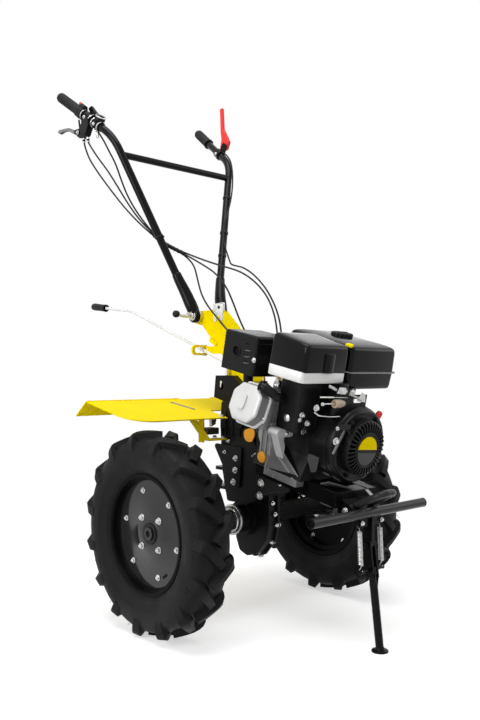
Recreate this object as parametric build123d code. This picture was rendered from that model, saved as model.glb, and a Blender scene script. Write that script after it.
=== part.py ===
from build123d import *
import math
import os

# Two-wheel walking tractor, standing on its tyres and its front stand.
# Frame: +Z up, the machine drives towards -Y, its right side is -X. Millimetres.
# Places are written from the axle line (Y = 0) and the floor (Z = 0); Y_SHIFT then centres the whole.

# ---- wheels
TYRE_RADIUS = 278
TYRE_WIDTH = 116
TYRE_WALL = 11
TREAD_WIDTH = 104
TRACK_HALF = 350
RIM_FLANGE_RADIUS = 166
RIM_SEAT_RADIUS = 152.4
RIM_WELL_RADIUS = 138
RIM_WIDTH = 80
RIM_GAUGE = 3
DISC_RECESS = 24
DISC_GAUGE = 4
HUB_FLANGE_RADIUS = 74
HUB_SLEEVE_RADIUS = 30
RIM_BOLT_CIRCLE = 118
SHAFT_RADIUS = 17
FIT = 0.1
SEAT = 0.3

# ---- gearbox
GEARBOX_HALF = 62
LEG_HALF = 21
BOSS_RADIUS = 40
BOSS_END = 78
HITCH_PIN_RADIUS = 10
HITCH_HALF = 34
HITCH_PLATE = 10
SIDE_PLATE = 6

# ---- engine, pitched nose-down about its crankshaft's front end
ENGINE_PITCH = 12
CRANK_Y = -450
CRANK_Z = 515
RECOIL_RADIUS = 77
FAN_RADIUS = 104
FAN_DEPTH = (26, 112)
BASE_DEPTH = 115
FOOT_DEPTH = 131
CYLINDER_TILT = 14
CYLINDER_RISE = 16
CYLINDER_MIDDLE = 234
HEAD_REACH = 247
SHROUD_OUT = 170
SHROUD_BACK = (104, 182)
RECOIL_SLOTS = 32
TANK_X = (-30, 166)
TANK_BACK = (76, 314)
TANK_Z = (140, 254)
TANK_SEAM = 188
CAP_PLACE = (60, 195)
CLEANER_X = (-202, -42)
CLEANER_BACK = (74, 206)
CLEANER_Z = (160, 258)
CLEANER_SEAM = 187
MUFFLER_X = (-200, -62)
MUFFLER_BACK = (258, 392)
MUFFLER_Z = (138, 246)

# ---- chassis
RAIL_HEIGHT = 42
RAIL_HALF = 62
RAIL_WIDTH = 38
BUMPER_HALF = 233
BUMPER_RADIUS = 12.5
BUMPER_Y = -462
BUMPER_Z = CRANK_Z - 163
LOOP_HALF = 30
LOOP_ROD = 9
STAND_PIVOT_Y = -455
STAND_PIVOT_Z = BUMPER_Z - 84
STAND_FOOT_Y = -490
STAND_TUBE_RADIUS = 10.5
STAND_FOOT_RADIUS = 21

# ---- fenders
FENDER_PITCH = 12
FENDER_HEIGHT = 2 * TYRE_RADIUS + 19
FENDER_OUT = 410
FENDER_IN = GEARBOX_HALF + 4
FENDER_FRONT = 24
FENDER_REAR = 268
FENDER_CORNER = 85
FENDER_FLAP = 72
FENDER_FLAP_DROP = 50
FENDER_GAUGE = 2.5
BRACE_GAUGE = 5

# ---- handlebar
PIVOT_Y = 190
PIVOT_Z = 894
BRACKET_HALF = 38
BRACKET_WALL = 5
GUIDE_Y = 155
HANDLE_RADIUS = 12.5
SLEEVE_RADIUS = 16.5
GRIP_RADIUS = 16.5
CROSSBAR_RADIUS = 11
CROSSBAR_Z = 1410
HANDLE_FOOT = (87, 235, 1010)
HANDLE_BEND = (248, 368, 1468)
HANDLE_END = (301, 612, 1646)
HANDLE_BEND_RADIUS = 150
GRIP_LENGTH = 112
LEVER_END_Y = 800
LEVER_X = -52

# ---- controls and cables; places along a tube are distances from the end of its grip
SWITCH_PLACE = (113, 140)
CLUTCH_PLACE = (154, 182)
THROTTLE_PLACE = (210, 232)
SAFETY_PLACE = (196, 228)
COLLAR_RADIUS = 17
CABLE_RADIUS = 2.8
WRAP_RADIUS = 6.5
ANCHOR_X = 32
ANCHOR_Y = -97
ANCHOR_TOP = 690
WRAP_END = (-60, 241, 1098)
JOINT_GAP = 0.3

FRONT_Y = -529
Y_SHIFT = -(FRONT_Y + LEVER_END_Y) / 2

ENGINE = Location((0, CRANK_Y, CRANK_Z), (ENGINE_PITCH, 0, 0))
SIDES = (("right", -1), ("left", 1))


def save(name, shape):
    export_step(shape.moved(Location((0, Y_SHIFT, 0))), f"parts/{name}.step")


def block(x, y, z, edge=0.0):
    """Box between the (low, high) pairs x, y and z, with its upright edges rounded by edge."""
    size = (x[1] - x[0], y[1] - y[0], z[1] - z[0])
    middle = ((x[0] + x[1]) / 2, (y[0] + y[1]) / 2, (z[0] + z[1]) / 2)
    solid = Pos(*middle) * Box(*size)
    return fillet(solid.edges().filter_by(Axis.Z), edge) if edge else solid


def soft_block(x, y, z, edge, rim):
    """Block with upright edges rounded by edge and its top rim rounded by rim."""
    solid = block(x, y, z, edge)
    return fillet(solid.faces().sort_by(Axis.Z)[-1].edges(), rim)


def rod(start, end, radius, bore=0.0):
    """Round bar or tube from start to end."""
    axis = Vector(*end) - Vector(*start)
    section = Circle(radius) - Circle(bore) if bore else Circle(radius)
    return extrude(Plane(origin=start, z_dir=axis) * section, axis.length)


def bent_rod(points, bends, radius, bore=0.0):
    """Round bar or tube along straight runs joined by tangent arcs of the radii in bends."""
    path = FilletPolyline(*points, radius=bends)
    section = Circle(radius) - Circle(bore) if bore else Circle(radius)
    return sweep(Plane(origin=path @ 0, z_dir=path % 0) * section, path=path)


def side_profile(points, x_low, x_high):
    """Plate or block with the (y, z) outline points, from x_low to x_high."""
    outline = Plane(origin=(x_low, 0, 0), x_dir=(0, 1, 0), z_dir=(1, 0, 0)) * make_face(Polyline(*points, close=True))
    return extrude(outline, x_high - x_low)


def across(centre_y, centre_z, radius, x_low, x_high, bore=0.0):
    """Cylinder or ring whose axis runs along X."""
    return rod((x_low, centre_y, centre_z), (x_high, centre_y, centre_z), radius, bore)


def handed(point, side):
    return (side * point[0], point[1], point[2])


# ------------------------------------------------------------------ wheels
def on_axle(solid, side):
    """Places a wheel piece made about the origin with its outer side at +X."""
    placed = solid if side > 0 else mirror(solid, Plane.YZ)
    return Pos(side * TRACK_HALF, 0, 0) * placed


def ring_face(profile):
    """Flat (x, radius) profile turned about the axle's axis through the wheel's centre."""
    face = make_face(Polyline(*profile, close=True))
    return Pos(0, 0, TYRE_RADIUS) * revolve(face, Axis.X)


def make_tyre():
    half = TYRE_WIDTH / 2
    tread = TREAD_WIDTH / 2
    bead = RIM_SEAT_RADIUS + SEAT
    bead_half = RIM_WIDTH / 2 - RIM_GAUGE - SEAT
    outer = [(bead_half - 9, bead), (bead_half, bead), (bead_half, 167), (half - 4, 188), (half, 214),
             (half - 1, 240), (tread, 262), (tread - 10, 274), (tread - 30, TYRE_RADIUS)]
    inner = [(tread - 30, TYRE_RADIUS - 30), (tread - 14, 244), (half - TYRE_WALL, 228),
             (half - TYRE_WALL, 206), (bead_half - 9, 176)]
    outline = outer + [(-x, r) for x, r in reversed(outer)]
    cavity = [(-x, r) for x, r in reversed(inner)]
    return ring_face(outline + cavity + inner)


def make_rim():
    half = RIM_WIDTH / 2
    disc = half - DISC_RECESS
    well = RIM_WELL_RADIUS
    seat = RIM_SEAT_RADIUS
    gauge = RIM_GAUGE
    barrel = [(half, RIM_FLANGE_RADIUS), (half - gauge, RIM_FLANGE_RADIUS), (half - gauge, seat),
              (disc - 4, seat), (disc - 10, well), (-12, well), (-18, seat), (gauge - half, seat),
              (gauge - half, RIM_FLANGE_RADIUS), (-half, RIM_FLANGE_RADIUS), (-half, seat - gauge),
              (-20, seat - gauge), (-14, well - gauge), (disc - 12, well - gauge),
              (disc - 6, seat - gauge), (half, seat - gauge)]
    plate = [(disc, 20), (disc, seat - gauge), (disc - DISC_GAUGE, seat - gauge), (disc - DISC_GAUGE, 20)]
    rim = ring_face(barrel) + ring_face(plate)
    holes = [Pos(0, 0, TYRE_RADIUS) * Rot(angle, 0, 0) * Pos(0, RIM_BOLT_CIRCLE, 0) * Rot(0, 90, 0) * Cylinder(5, 90)
             for angle in range(13, 373, 60)]
    return rim - holes


def make_hub():
    """Drive flange, sleeve and shaft that turn with one wheel."""
    face = RIM_WIDTH / 2 - DISC_RECESS - DISC_GAUGE
    inner = BOSS_END + 10 - TRACK_HALF
    outline = [(face, 20), (face, HUB_FLANGE_RADIUS), (face - 8, HUB_FLANGE_RADIUS), (face - 14, 38),
               (face - 60, HUB_SLEEVE_RADIUS), (inner, HUB_SLEEVE_RADIUS), (inner, SHAFT_RADIUS),
               (LEG_HALF + 4 - TRACK_HALF, SHAFT_RADIUS), (LEG_HALF + 4 - TRACK_HALF, 0), (face + 8, 0),
               (face + 8, 9), (face + 14, 9), (face + 14, 18), (face, 18)]
    return ring_face(outline)


def build_wheels():
    for name, side in SIDES:
        save(f"tyre_{name}", on_axle(make_tyre(), side))
        save(f"rim_{name}", on_axle(make_rim(), side))
        save(f"hub_{name}", on_axle(make_hub(), side))


# ------------------------------------------------------------------ gearbox
def build_gearbox():
    axle = TYRE_RADIUS
    upper = side_profile([(-74, 628), (56, 628), (62, 560), (52, 420), (30, 330), (-60, 330), (-112, 360),
                          (-112, 470), (-84, 520)], -GEARBOX_HALF, GEARBOX_HALF)
    upper = fillet(upper.edges().filter_by(Axis.X), 8)
    drop = [(-106, 372), (36, 372), (36, 216), (20, 178), (-14, 166), (-56, 178), (-94, 222), (-106, 264)]
    leg = side_profile(drop, -LEG_HALF, LEG_HALF)
    leg = fillet(leg.edges().filter_by(Axis.X).filter_by(lambda edge: edge.center().Z < 300), 18)
    seam = side_profile([(y * 1.09 + 1, axle - 30 + (z - axle + 30) * 1.08) for y, z in drop], 8, 16)
    seam = fillet(seam.edges().filter_by(Axis.X).filter_by(lambda edge: edge.center().Z < 300), 18)
    seam -= block((-50, 50), (-200, 200), (352, 420))
    leg += seam
    barrel = across(0, axle, 52, -34, 34)
    bosses = across(0, axle, BOSS_RADIUS, -BOSS_END, BOSS_END)
    bore = across(0, axle, SHAFT_RADIUS + FIT, -BOSS_END - 1, BOSS_END + 1)
    save("gearbox_case", upper + leg + barrel + bosses - bore)
    caps = Part()
    plates = Part()
    for _, side in SIDES:
        low, high = sorted((side * BOSS_END, side * (BOSS_END + 8)))
        caps += across(0, axle, 25, low, high, SHAFT_RADIUS + FIT)
        low, high = sorted((side * GEARBOX_HALF, side * (GEARBOX_HALF + SIDE_PLATE)))
        plate = side_profile([(88, 500), (-40, 494), (-30, 376), (2, 372)], low, high)
        plates += fillet(plate.edges().filter_by(Axis.X), 8)
    save("bearing_caps", caps)
    save("side_plates", plates)
    save("rear_hitch", make_hitch() - upper - barrel - leg)
    clutch = Pos(0, 345, 0) * Rot(-90, 0, 0) * Cone(88, 76, 100)
    ring = Pos(0, 300, 0) * Rot(-90, 0, 0) * Cylinder(96, 14)
    housing = ENGINE * (clutch + ring)
    for side in (-1, 1):
        housing += Pos(side * ANCHOR_X, ANCHOR_Y, ANCHOR_TOP - 20) * Cylinder(11, 40)
    save("clutch_housing", housing - upper)


def make_hitch():
    """Clevis behind the gearbox: two level plates on a back plate, with one upright pin hole."""
    back = block((-HITCH_HALF, HITCH_HALF), (30, 70), (350, 430))
    pin_y = 104
    plates = Part()
    for low in (356, 414):
        plate = block((-HITCH_HALF, HITCH_HALF), (60, pin_y + 22), (low, low + HITCH_PLATE))
        corners = plate.edges().filter_by(Axis.Z).sort_by(Axis.Y)[-2:]
        plates += fillet(corners, 16)
    return back + plates - Pos(0, pin_y, 390) * Cylinder(HITCH_PIN_RADIUS, 120)


# ------------------------------------------------------------------ engine
def tilted(reach, along, across_axis):
    """Box on the cylinder's axis: (low, high) reach from the crankshaft, along the engine and across the axis."""
    middle = CYLINDER_MIDDLE
    solid = block((-reach[1], -reach[0]), (middle - along, middle + along), (-across_axis, across_axis))
    return Pos(0, 0, CYLINDER_RISE) * Rot(0, CYLINDER_TILT, 0) * solid


def build_engine():
    case = make_case()
    save("crankcase", ENGINE * case)
    reach = HEAD_REACH
    barrel = tilted((90, reach - 80), 44, 44)
    for step in (152, 140, 128, 116):
        barrel += tilted((reach - step, reach - step + 4), 58, 54)
    head = tilted((reach - 84, reach - 36), 56, 52)
    for step in (78, 66, 54):
        head -= tilted((reach - step, reach - step + 6), 60, 60) - tilted((0, reach), 46, 43)
    body = head + barrel
    lug = block((-SHROUD_OUT - 28, -100), (140, 200), (0, 22), 6)
    body = body + lug - case
    save("cylinder", ENGINE * body)
    rim = tilted((reach - 36, reach - 29), 62, 58)
    rim = fillet(rim.edges().filter_by(lambda edge: edge.length < 8), 20)
    dome = tilted((reach - 29, reach), 54, 52)
    dome = chamfer(dome.edges().filter_by(lambda edge: abs(edge.length - 29) < 0.1), 24)
    outer = dome.faces().sort_by(Axis.X)[0]
    dome = chamfer(outer.edges(), 8)
    boss = chamfer(tilted((reach - 2, reach + 6), 13, 20).faces().sort_by(Axis.X)[0].edges(), 3)
    save("valve_cover", ENGINE * (rim + dome + boss))
    build_cooling(case, body)
    build_tank(case)
    build_intake_exhaust(body, case)


def make_case():
    """Crankcase block with its feet, and a sloping web under each side."""
    base = -BASE_DEPTH
    sump = [(-118, base), (124, base), (124, base + 14), (96, base + 20),
            (92, 30), (60, 84), (-30, 92), (-84, 60), (-92, -50), (-112, base + 18)]
    case = extrude(Plane.XZ.offset(-112) * make_face(Polyline(*sump, close=True)), -180)
    case = fillet(case.edges().filter_by(Axis.Y), 5)
    web = [(120, -FOOT_DEPTH), (242, -FOOT_DEPTH), (244, base + 2), (236, -60), (226, -24), (205, -36), (118, -98)]
    for x_low, x_high in ((-118, -88), (90, 122)):
        case += side_profile(web, x_low, x_high)
    return case - engine_rails()


def engine_rails():
    """Space of the two rails that carry the engine, over their whole width."""
    reach = RAIL_HALF + RAIL_WIDTH / 2 + 0.3
    return block((-reach, reach), (8, 332), (-BASE_DEPTH - RAIL_HEIGHT, -BASE_DEPTH))


def fan_drum():
    """Outline of the fan housing about the crankshaft."""
    near, far = FAN_DEPTH
    return Pos(0, (near + far) / 2, 0) * Rot(90, 0, 0) * Cylinder(FAN_RADIUS, far - near)


def build_cooling(case, body):
    fan = fan_drum()
    rim = fillet(fan.edges().filter_by(GeomType.CIRCLE).sort_by(Axis.Y)[:1], 16)
    save("fan_housing", ENGINE * (rim - case))
    cup = Pos(0, 13, 0) * Rot(90, 0, 0) * Cylinder(RECOIL_RADIUS, 26)
    cup = fillet(cup.edges().filter_by(GeomType.CIRCLE).sort_by(Axis.Y)[:1], 9)
    slot = Pos(58, 1.5, 0) * Box(22, 7, 3.8)
    cup -= [Rot(0, 360 * step / RECOIL_SLOTS, 0) * slot for step in range(RECOIL_SLOTS)]
    disc = Pos(-2, -1, -4) * Rot(90, 0, 0) * Cylinder(38, 4)
    save("recoil_cover", ENGINE * (cup + disc))
    hood = block((-SHROUD_OUT, -60), SHROUD_BACK, (22, CLEANER_Z[0]), 8)
    hood = hood - block((-95, 0), (100, 300), (-10, 93)) - body - tilted((60, 300), 60, 56)
    hood -= fan
    save("cylinder_shroud", ENGINE * hood.solids().sort_by(SortBy.VOLUME)[-1])
    plug = bent_rod([(-176, 222, 84), (-186, 222, 118), (-168, 180, 112)], [12], 8)
    plug = plug - body - hood
    save("spark_plug_cap", ENGINE * plug.solids().sort_by(SortBy.VOLUME)[-1])


def grown(span, margin):
    """Low and high pair moved outwards by margin."""
    return (span[0] - margin, span[1] + margin)


def build_tank(case):
    base, top = TANK_Z
    lower = block(grown(TANK_X, -2), grown(TANK_BACK, -2), (base, TANK_SEAM - 2), 12)
    lower = chamfer(lower.faces().sort_by(Axis.Z)[0].edges(), 6)
    seam = block(grown(TANK_X, 6), grown(TANK_BACK, 6), (TANK_SEAM - 2, TANK_SEAM + 2), 18)
    upper = soft_block(TANK_X, TANK_BACK, (TANK_SEAM + 2, top), 14, 10)
    neck = Pos(*CAP_PLACE, top) * Cylinder(24, 5)
    save("fuel_tank", ENGINE * (lower + seam + upper + neck))
    cap = Pos(*CAP_PLACE, top + 7.5) * Cylinder(31, 10)
    cap = fillet(cap.faces().sort_by(Axis.Z)[-1].edges(), 4)
    save("fuel_cap", ENGINE * cap)
    mounts = Part()
    for near in (134, 262):
        mounts += block((-20, 84), (near, near + 26), (60, base))
    save("tank_brackets", ENGINE * (mounts - case))


def build_intake_exhaust(cylinder, case):
    cover = soft_block(CLEANER_X, CLEANER_BACK, (CLEANER_SEAM, CLEANER_Z[1]), 10, 7)
    ridge = block((-144, -89), (CLEANER_BACK[0] - 6, CLEANER_BACK[0] + 6), (CLEANER_SEAM, 236))
    save("air_cleaner", ENGINE * (cover + ridge))
    band = block(grown(CLEANER_X, -1), grown(CLEANER_BACK, -1), (CLEANER_Z[0], CLEANER_SEAM), 12)
    save("air_cleaner_base", ENGINE * band)
    guard = soft_block(MUFFLER_X, MUFFLER_BACK, MUFFLER_Z, 8, 8)
    pipe = bent_rod([(-150, 262, 70), (-150, 318, 84), (-150, 330, 142)], [22], 14)
    pipe = pipe - cylinder - block(MUFFLER_X, MUFFLER_BACK, MUFFLER_Z)
    save("exhaust_pipe", ENGINE * pipe.solids().sort_by(SortBy.VOLUME)[-1])
    face = MUFFLER_X[0]
    outlet = Pos(face, 334, 194) * Rot(0, 90, 0) * Cylinder(13, 30)
    louvres = [block((face - 3, face + 3), (282, 300), (high, high + 4)) for high in (170, 186, 202, 218)]
    save("muffler_guard", ENGINE * (guard - outlet - louvres))
    fan = fan_drum()
    throat = block((-60, -32), (64, 134), (120, 160), 8)
    bowl = Pos(-38, 100, 112) * Cylinder(17, 18)
    port = block((-57, -24), (130, 196), (93, 118))
    carburettor = throat + bowl + port - fan - case - cylinder
    save("carburettor", ENGINE * carburettor.solids().sort_by(SortBy.VOLUME)[-1])
    plate = block((-98, 34), (54, 60), (70, 132)) - fan
    slot = block((-20, 20), (50, 64), (110, 122))
    save("throttle_plate", ENGINE * (plate - slot))


# ------------------------------------------------------------------ chassis
def build_chassis():
    low = -BASE_DEPTH - RAIL_HEIGHT
    rails = Part()
    for side in (-1, 1):
        x_low, x_high = sorted((side * (RAIL_HALF - RAIL_WIDTH / 2), side * (RAIL_HALF + RAIL_WIDTH / 2)))
        rails += block((x_low, x_high), (10, 330), (low, -BASE_DEPTH))
    ties = block((-RAIL_HALF, RAIL_HALF), (10, 46), (low, -BASE_DEPTH))
    ties += block((-RAIL_HALF, RAIL_HALF), (290, 330), (low, -BASE_DEPTH))
    frame = ENGINE * (rails + ties)
    frame -= block((-GEARBOX_HALF - 30, GEARBOX_HALF + 30), (-112, 200), (300, 628))
    save("engine_frame", frame)
    save("bumper_bar", across(BUMPER_Y, BUMPER_Z, BUMPER_RADIUS, -BUMPER_HALF, BUMPER_HALF, BUMPER_RADIUS - 2.5))


def build_bumper():
    ends = [(-LOOP_HALF, -408, BUMPER_Z + 4), (-LOOP_HALF, -520, BUMPER_Z + 56),
            (LOOP_HALF, -520, BUMPER_Z + 56), (LOOP_HALF, -408, BUMPER_Z + 4)]
    loop = bent_rod(ends, [22, 22], LOOP_ROD)
    tube = across(BUMPER_Y, BUMPER_Z, BUMPER_RADIUS, -BUMPER_HALF, BUMPER_HALF)
    rails = ENGINE * block((-90, 90), (10, 330), (-BASE_DEPTH - RAIL_HEIGHT, -BASE_DEPTH))
    loop = loop - tube - rails
    save("bumper_loop", loop)
    outline = [(-405, 36), (-395, -2), (-432, -18), (-450, -6), (-450, 10), (-436, 22)]
    front = side_profile([(y, BUMPER_Z + z) for y, z in outline], -56, 56)
    save("bumper_bracket", front - tube - loop - rails)


# ------------------------------------------------------------------ front stand
def build_stand():
    y, z = STAND_PIVOT_Y, STAND_PIVOT_Z
    tube = across(BUMPER_Y, BUMPER_Z, BUMPER_RADIUS, -BUMPER_HALF, BUMPER_HALF)
    tongue = side_profile([(y - 16, z + 77), (y + 2, z + 77), (y + 14, z + 30), (y + 14, z), (y + 8, z - 14),
                           (y - 8, z - 14), (y - 14, z)], -6, 6)
    ear = block((-44, 44), (y - 8, y + 2), (z + 50, z + 72))
    bracket = tongue + ear - tube - across(y, z, 6 + FIT, -20, 20)
    save("stand_bracket", bracket)
    flats = Part()
    for side in (-1, 1):
        low, high = sorted((side * 6.5, side * 11.5))
        flats += side_profile([(y - 13, z + 12), (y + 13, z + 12), (y + 5, z - 82), (y - 25, z - 82)], low, high)
    pin = across(y, z, 6, -16, 16)
    spacer = across(y - 9, z - 63, 5, -44, 44)
    leg = rod((0, y - 10, z - 56), (0, STAND_FOOT_Y, 4), STAND_TUBE_RADIUS)
    foot = Pos(0, STAND_FOOT_Y, 2) * Cylinder(STAND_FOOT_RADIUS, 4)
    save("stand_leg", flats + pin + spacer + leg - block((-50, 50), (-600, -400), (-20, 0)) + foot)
    springs = Part()
    for side in (-1, 1):
        springs += rod((side * 37, y - 3, z + 49.7), (side * 37, y - 8, z - 56), 7)
    save("stand_springs", springs)


# ------------------------------------------------------------------ fenders
def build_fenders():
    seat = Location((0, 0, FENDER_HEIGHT), (FENDER_PITCH, 0, 0))
    drop = math.radians(FENDER_FLAP_DROP)
    flap_end = (FENDER_REAR + FENDER_FLAP * math.cos(drop), -FENDER_FLAP * math.sin(drop))
    braces = Part()
    for name, side in SIDES:
        x_low, x_high = sorted((side * FENDER_IN, side * FENDER_OUT))
        plate = block((x_low, x_high), (FENDER_FRONT, FENDER_REAR), (-FENDER_GAUGE, 0))
        outer = plate.edges().filter_by(Axis.Z).sort_by(lambda edge: edge.center().Y - side * edge.center().X)[0]
        plate = fillet(outer, FENDER_CORNER)
        flap = side_profile([(FENDER_REAR, 0), flap_end, (flap_end[0] - 2, flap_end[1] - 2),
                             (FENDER_REAR - 1, -FENDER_GAUGE), (FENDER_REAR - 1, 0)], x_low, x_high)
        save(f"fender_{name}", seat * (plate + flap))
        braces += make_brace(side, seat * plate)
    save("fender_braces", braces)


def make_brace(side, plate):
    """Strap from the gearbox wall up to the underside of a fender, with an upright tab."""
    wall = GEARBOX_HALF
    gauge = BRACE_GAUGE
    top = FENDER_HEIGHT + 65
    points = [(wall, 512), (wall + 66, 512), (wall + 176, top), (wall + 169, top), (wall + 64, 512 + gauge),
              (wall, 512 + gauge)]
    outline = [(side * x, z) for x, z in points]
    plane = Plane(origin=(0, 64, 0), x_dir=(1, 0, 0), z_dir=(0, -1, 0))
    strap = extrude(plane * make_face(Polyline(*outline, close=True)), 32)
    x_low, x_high = sorted((side * (wall + 56), side * (wall + 56 + gauge)))
    post = block((x_low, x_high), (70, 92), (505, top + 20))
    post += block(sorted((side * (wall + 38), side * (wall + 56))), (60, 92), (512, 512 + gauge))
    above = Location((0, 0, FENDER_HEIGHT), (FENDER_PITCH, 0, 0)) * block((-500, 500), (-200, 400), (-FENDER_GAUGE, 200))
    return strap + post - above


# ------------------------------------------------------------------ handlebar and its column
def build_column():
    y, z = PIVOT_Y, PIVOT_Z
    outline = [(y + 22, z + 16), (y - 50, z + 16), (10, 790), (-34, 690), (-34, 668), (44, 668), (80, 768),
               (176, z - 30), (y + 26, z - 20)]
    half = BRACKET_HALF
    body = side_profile(outline, -half, half)
    hollow = side_profile([(y + 60, z + 40), (y - 20, z + 40), (y - 20, z + 4), (40, 784), (0, 672), (0, 640),
                           (80, 640), (300, 800)], -half + BRACKET_WALL, half - BRACKET_WALL)
    column = body - hollow - across(y, z, 8 + FIT, -60, 60)
    save("handle_bracket", column)
    base = side_profile([(-66, 628), (50, 628), (94, 640), (86, 706), (10, 706), (-40, 667.7), (-66, 640)], -60, 60)
    base -= side_profile([(-36, 667.9), (46, 667.9), (80, 767), (80, 800), (-36, 800)], -half, half)
    slot = across(58, 672, 9, -61, 61)
    save("bracket_base", base - slot - column)
    clamps = Part()
    for _, side in SIDES:
        low, high = sorted((side * BRACKET_HALF, side * (BRACKET_HALF + 12)))
        clamps += across(y, z, 19, low, high, 8 + FIT)
    ear = side_profile([(y - 20, z - 8), (y + 24, z - 8), (y + 30, z + 46), (y - 22, z + 50)], half + 6, half + 12)
    ear = fillet(ear.edges().filter_by(Axis.X), 6)
    clamps += ear - across(y, z, 18, 0, 100) - across(y + 6, z + 36, 5, 0, 100)
    save("pivot_clamps", clamps)
    guide = block((-98, -half), (GUIDE_Y - 3, GUIDE_Y + 3), (769, 801))
    guide = fillet(guide.edges().filter_by(Axis.Y).sort_by(Axis.X)[:2], 14)
    slot = block((-88, -45), (GUIDE_Y - 9, GUIDE_Y + 9), (776, 794))
    slot = fillet(slot.edges().filter_by(Axis.Y), 8)
    arm = block((-half - 6, -half), (62, GUIDE_Y - 3), (773, 797))
    save("shift_guide", guide + arm - slot)


def build_handlebar():
    y, z = PIVOT_Y, PIVOT_Z
    foot, bend, end = Vector(*HANDLE_FOOT), Vector(*HANDLE_BEND), Vector(*HANDLE_END)
    along = (end - bend).normalized()
    grip_start = end - along * GRIP_LENGTH
    grips = Part()
    sleeves = Part()
    for name, side in SIDES:
        points = [handed(tuple(p), side) for p in (foot, bend, end - along * 4)]
        tube = bent_rod(points, HANDLE_BEND_RADIUS, HANDLE_RADIUS, HANDLE_RADIUS - 2)
        save(f"handle_{name}", tube)
        grip = rod(handed(tuple(grip_start), side), handed(tuple(end), side), GRIP_RADIUS)
        core = bent_rod(points, HANDLE_BEND_RADIUS, HANDLE_RADIUS + FIT)
        grips += grip - core
        lug_low, lug_high = sorted((side * (BRACKET_HALF + 12.3), side * (BRACKET_HALF + 28)))
        lug = across(y, z, 21, lug_low, lug_high)
        sleeve = bent_rod([handed(p, side) for p in ((58, y + 2, z), (68, 212, 945), (93, 240, 1030))], 60,
                          SLEEVE_RADIUS)
        socket = bent_rod(points, HANDLE_BEND_RADIUS, HANDLE_RADIUS + FIT)
        sleeve = sleeve - block((-BRACKET_HALF - 12.3, BRACKET_HALF + 12.3), (0, 400), (800, 1000))
        sleeves += lug + sleeve - socket
    save("grips", grips)
    save("handle_sleeves", sleeves)
    bar = rod(leg_point(CROSSBAR_Z, -1), leg_point(CROSSBAR_Z, 1), CROSSBAR_RADIUS)
    for side in (-1, 1):
        points = [handed(tuple(p), side) for p in (foot, bend, end)]
        bar -= bent_rod(points, HANDLE_BEND_RADIUS, HANDLE_RADIUS)
    bar = bar.solids().sort_by(SortBy.VOLUME)[-1]
    save("handle_crossbar", bar)
    save("pivot_bolt", across(y, z, 8, -BRACKET_HALF - 11, BRACKET_HALF + 11))
    stem = rod((-76, y, z), (-112, y, z), 5)
    knob = Pos(-122, y, z) * Rot(0, 90, 0) * Sphere(11)
    save("clamp_lever", stem + knob)


def grip_point(distance, side):
    """Point on a handle tube's axis at this distance from the end of its grip."""
    end, bend = Vector(*HANDLE_END), Vector(*HANDLE_BEND)
    place = end - (end - bend).normalized() * distance
    return (side * place.X, place.Y, place.Z)


def collar(place, side, radius):
    """Ring round a handle tube over the (near, far) distances in place."""
    return rod(grip_point(place[0], side), grip_point(place[1], side), radius, HANDLE_RADIUS + FIT)


def tube_core(side):
    points = [handed(point, side) for point in (HANDLE_FOOT, HANDLE_BEND, HANDLE_END)]
    return bent_rod(points, HANDLE_BEND_RADIUS, HANDLE_RADIUS + FIT)


def build_controls():
    core = tube_core(-1)
    outline = [(500, 1558), (458, 1540), (455, 1516), (474, 1488), (505, 1484), (522, 1494), (526, 1509),
               (508, 1520), (496, 1533)]
    body = side_profile(outline, -289, -267)
    body = fillet(body.edges().filter_by(Axis.X), 3)
    mouth = side_profile([(494, 1470), (560, 1470), (560, 1532), (502, 1532)], -283, -273)
    glands = rod((-278, 499, 1494), (-277, 497, 1470), 5) + rod((-273, 482, 1494), (-271, 481, 1470), 5)
    pin = across(514, 1505, 4, -290, -266)
    bracket = collar(CLUTCH_PLACE, -1, COLLAR_RADIUS) + body - core - mouth + pin + glands
    tab = side_profile([(444, 1515), (424, 1511), (408, 1550), (424, 1564), (438, 1552)], 267, 272.6)
    stud = across(426, 1551, 5, 268, 288) + across(426, 1551, 9, 268, 275)
    safety = collar(SAFETY_PLACE, 1, COLLAR_RADIUS) + tab - tube_core(1) + stud
    save("control_brackets", bracket + safety)
    switch = collar(SWITCH_PLACE, -1, 20)
    above = Vector(0, -0.59, 0.81)
    ends = [tuple(Vector(*grip_point(place, -1)) + above * 17) for place in (116, 138)]
    switch = switch + rod(ends[0], ends[1], 11) - core
    save("switch_housing", switch)
    blade = [(505, 1497), (526, 1497), (552, 1510), (592, 1530), (622, 1534), (646, 1531), (660, 1540),
             (652, 1546), (622, 1543), (589, 1539), (552, 1523), (520, 1521), (506, 1514)]
    lever = side_profile(blade, -282.7, -273.3) - across(514, 1505, 4, -290, -266)
    latch = rod((-279, 527, 1552), (-279, 519, 1516), 3) - switch
    save("clutch_lever", lever + latch.solids().sort_by(SortBy.VOLUME)[-1])
    low, high = [Vector(*grip_point(221, -1)) + above * reach for reach in (13, 28)]
    drum = rod(tuple(low), tuple(high), 17)
    arm = side_profile([(414, 1536), (436, 1528), (456, 1556), (474, 1562), (486, 1583), (469, 1587), (446, 1564)], -268, -260)
    save("throttle_control", collar(THROTTLE_PLACE, -1, COLLAR_RADIUS) + drum + arm - core - bracket)
    red = [(12, -14), (26, -6), (24, 34), (34, 68), (44, 120), (52, 158), (40, 160), (22, 76), (-4, 40), (-20, 16),
           (-12, -12)]
    blade = side_profile(red, 0, 10) - across(0, 0, 5.6, -20, 20)
    save("safety_lever", Pos(276, 426, 1551) * Rot(0, 7.7, 0) * blade - safety)


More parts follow.
